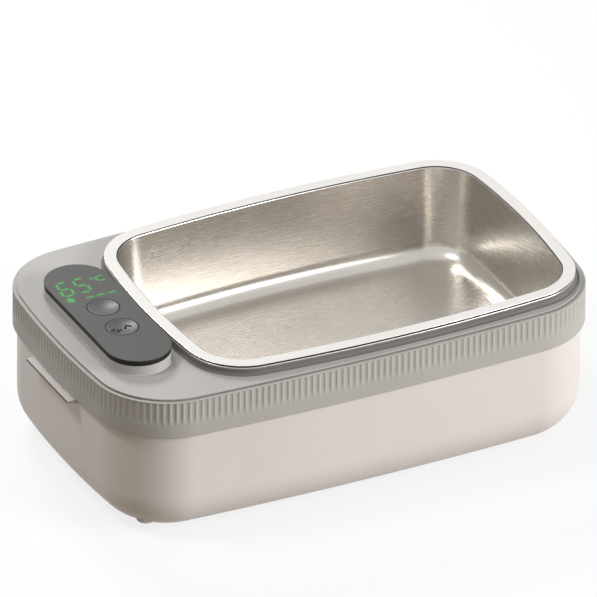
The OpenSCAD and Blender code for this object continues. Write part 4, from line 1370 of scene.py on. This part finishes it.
@dataclass
class Studio:
    """Floor, light, world and camera.

    Lamps are given by name: place in metres, side in metres and power in watts.
    """

    azimuth: float = -26.55
    elevation: float = 30.3
    roll: float = 0.57
    distance: float = 10.39
    target_z: float = 0.045
    shift: tuple[float, float] = (-0.0001, 0.02045)
    lens: float = 1312.46
    sensor: float = 36.0
    clip: tuple[float, float] = (0.5, 60.0)
    lamps: dict[str, tuple[tuple[float, float, float], float, float]] = field(default_factory=lambda: {
        "back": ((-0.05, 0.5, 0.55), 0.2, 2.1),
        "fill": ((1.625, -1.773, 0.72), 1.4, 60.0),
        "side": ((-0.72, 0.2, 1.154), 0.3, 5.2),
    })
    ambient: float = 0.28
    sky: str = "#fffaf4"
    floor_half: float = 3.0
    floor_tone: str = "#8c7e66"
    floor_white: float = 0.8

    def place(
        self, name: str, data: bpy.types.ID, axes: tuple[np.ndarray, ...], spot: np.ndarray
    ) -> bpy.types.Object:
        """Puts a camera or lamp in the scene.

        Args:
            name: its name.
            data: its data.
            axes: the ways that its X, Y and Z point.
            spot: its place.

        Returns:
            The object.
        """
        thing = bpy.data.objects.new(name, data)
        matrix = Matrix.Identity(4)
        for col, vec in enumerate((*axes, spot)):
            for row in range(3):
                matrix[row][col] = float(vec[row])
        thing.matrix_world = matrix
        bpy.context.scene.collection.objects.link(thing)
        return thing

    def camera(self) -> None:
        """The camera at the photograph's angle, turned about its own axis by roll.

        It looks from azimuth and elevation at a point above the origin, moved by shift in its plane.
        """
        a, e, r = (math.radians(v) for v in (self.azimuth, self.elevation, self.roll))
        back = np.array([math.sin(a) * math.cos(e), -math.cos(a) * math.cos(e), math.sin(e)])
        right = np.cross(-back, [0, 0, 1])
        right /= np.linalg.norm(right)
        up = np.cross(right, -back)
        right, up = right * math.cos(r) + up * math.sin(r), up * math.cos(r) - right * math.sin(r)
        spot = np.array([0, 0, self.target_z]) + back * self.distance
        spot = spot + right * self.shift[0] + up * self.shift[1]
        data = bpy.data.cameras.new("camera")
        data.sensor_width, data.lens = self.sensor, self.lens
        data.clip_start, data.clip_end = self.clip
        bpy.context.scene.camera = self.place("camera", data, (right, up, back), spot)

    def seen(self, tree: bpy.types.NodeTree, *rays: str) -> bpy.types.NodeSocket:
        """Tells the kinds of ray apart by Light Path, whose outputs' maximum is taken in turn.

        Args:
            tree: the tree.
            rays: Light Path's names of the kinds.

        Returns:
            1 for these kinds and 0 for all others.
        """
        path = add(tree, "ShaderNodeLightPath").outputs
        share = path[rays[0]]
        for ray in rays[1:]:
            share = add(tree, "ShaderNodeMath", {"operation": "MAXIMUM"}, i0=share, i1=path[ray]).outputs[0]
        return share

    def floor(self) -> None:
        """A plain white floor that keeps the object's shadow.

        The camera and mirror-like surfaces see mostly its own white, and the rest of it is lit. To
        other rays it is warm grey, as a wooden table under the paper's edge would be.
        """
        h = self.floor_half
        mesh = bpy.data.meshes.new("floor")
        mesh.from_pydata([(-h, -h, 0), (h, -h, 0), (h, h, 0), (-h, h, 0)], [], [(0, 1, 2, 3)])
        floor = bpy.data.objects.new("floor", mesh)
        bpy.context.scene.collection.objects.link(floor)
        mat = bpy.data.materials.new("White paper")
        mat.use_nodes = True
        tree = mat.node_tree
        tree.nodes.clear()
        seen = self.seen(tree, "Is Camera Ray", "Is Glossy Ray")
        share = add(tree, "ShaderNodeMath", {"operation": "MULTIPLY"}, i0=seen, i1=self.floor_white)
        tone = add(tree, "ShaderNodeMix", {"data_type": "RGBA"}, Factor=seen,
                   i6=linear(self.floor_tone), i7=linear("#ffffff"))
        lit = add(tree, "ShaderNodeBsdfDiffuse", Color=tone.outputs[2])
        white = add(tree, "ShaderNodeEmission", Color=(1, 1, 1, 1), Strength=1.0)
        mix = add(tree, "ShaderNodeMixShader", i0=share.outputs[0], i1=lit.outputs[0], i2=white.outputs[0])
        add(tree, "ShaderNodeOutputMaterial", i0=mix.outputs[0])
        mesh.materials.append(mat)

    def world(self) -> None:
        """White to the camera and in reflections, and a plain level of light from all round."""
        world = bpy.data.worlds.new("studio")
        bpy.context.scene.world = world
        world.use_nodes = True
        tree = world.node_tree
        tree.nodes.clear()
        seen = self.seen(tree, "Is Camera Ray", "Is Glossy Ray", "Is Transmission Ray")
        level = add(tree, "ShaderNodeMapRange", Value=seen, To_Min=self.ambient, To_Max=1.0)
        tone = add(tree, "ShaderNodeMix", {"data_type": "RGBA"}, Factor=seen,
                   i6=linear(self.sky), i7=linear("#ffffff"))
        sky = add(tree, "ShaderNodeBackground", Color=tone.outputs[2], Strength=level.outputs[0])
        add(tree, "ShaderNodeOutputWorld", i0=sky.outputs[0])

    def lamp(self, name: str, at: tuple[float, float, float], size: float, power: float) -> None:
        """A square soft lamp that looks at the object.

        Args:
            name: its name.
            at: its place.
            size: its side.
            power: its power in watts.
        """
        data = bpy.data.lights.new(name, "AREA")
        data.shape, data.size, data.energy = "SQUARE", size, power
        z = np.array(at) - np.array([0, 0, self.target_z])
        z = z / np.linalg.norm(z)
        x = np.cross([0, 0, 1], z)
        x /= np.linalg.norm(x)
        self.place(name, data, (x, np.cross(z, x), z), np.array(at))

    def build(self) -> None:
        """Makes the stage and sets the plain view transform."""
        bpy.context.scene.view_settings.view_transform = "Standard"
        self.camera()
        self.floor()
        self.world()
        for name, (at, size, power) in self.lamps.items():
            self.lamp(name, at, size, power)


def main() -> None:
    """Builds the stage and every sub-assembly in order."""
    logging.basicConfig(level=logging.INFO, format="%(name)s %(message)s")
    Studio().build()
    Shell().build()
    collar = Collar()
    collar.build()
    Pan("well", "heating_well", WELL_STEEL, "case", "well_steel", top=LEVEL.flange, sheet=0.8, edge=0.1,
        flange=3.6, roll=1.2, floor=LEVEL.well_floor, low_in=8.0).build()
    Tray("tray", "food_tray", TRAY_STEEL, "tray", "tray_steel", top=LEVEL.rim_top, sheet=0.6, edge=0.0,
         flange=5.6, roll=1.0, floor=LEVEL.tray_floor, low_in=9.6, tuck=0.6).build()
    panel = Panel(collar.panel())
    panel.build()
    front, back = panel.button_y
    Button("power_cap", "power_button", "power_key", panel.button_x, front, marked=True).build()
    Button("mode_cap", "mode_button", "mode_key", panel.button_x, back, marked=False).build()
    Fittings().build()


if __name__ == "__main__":
    main()
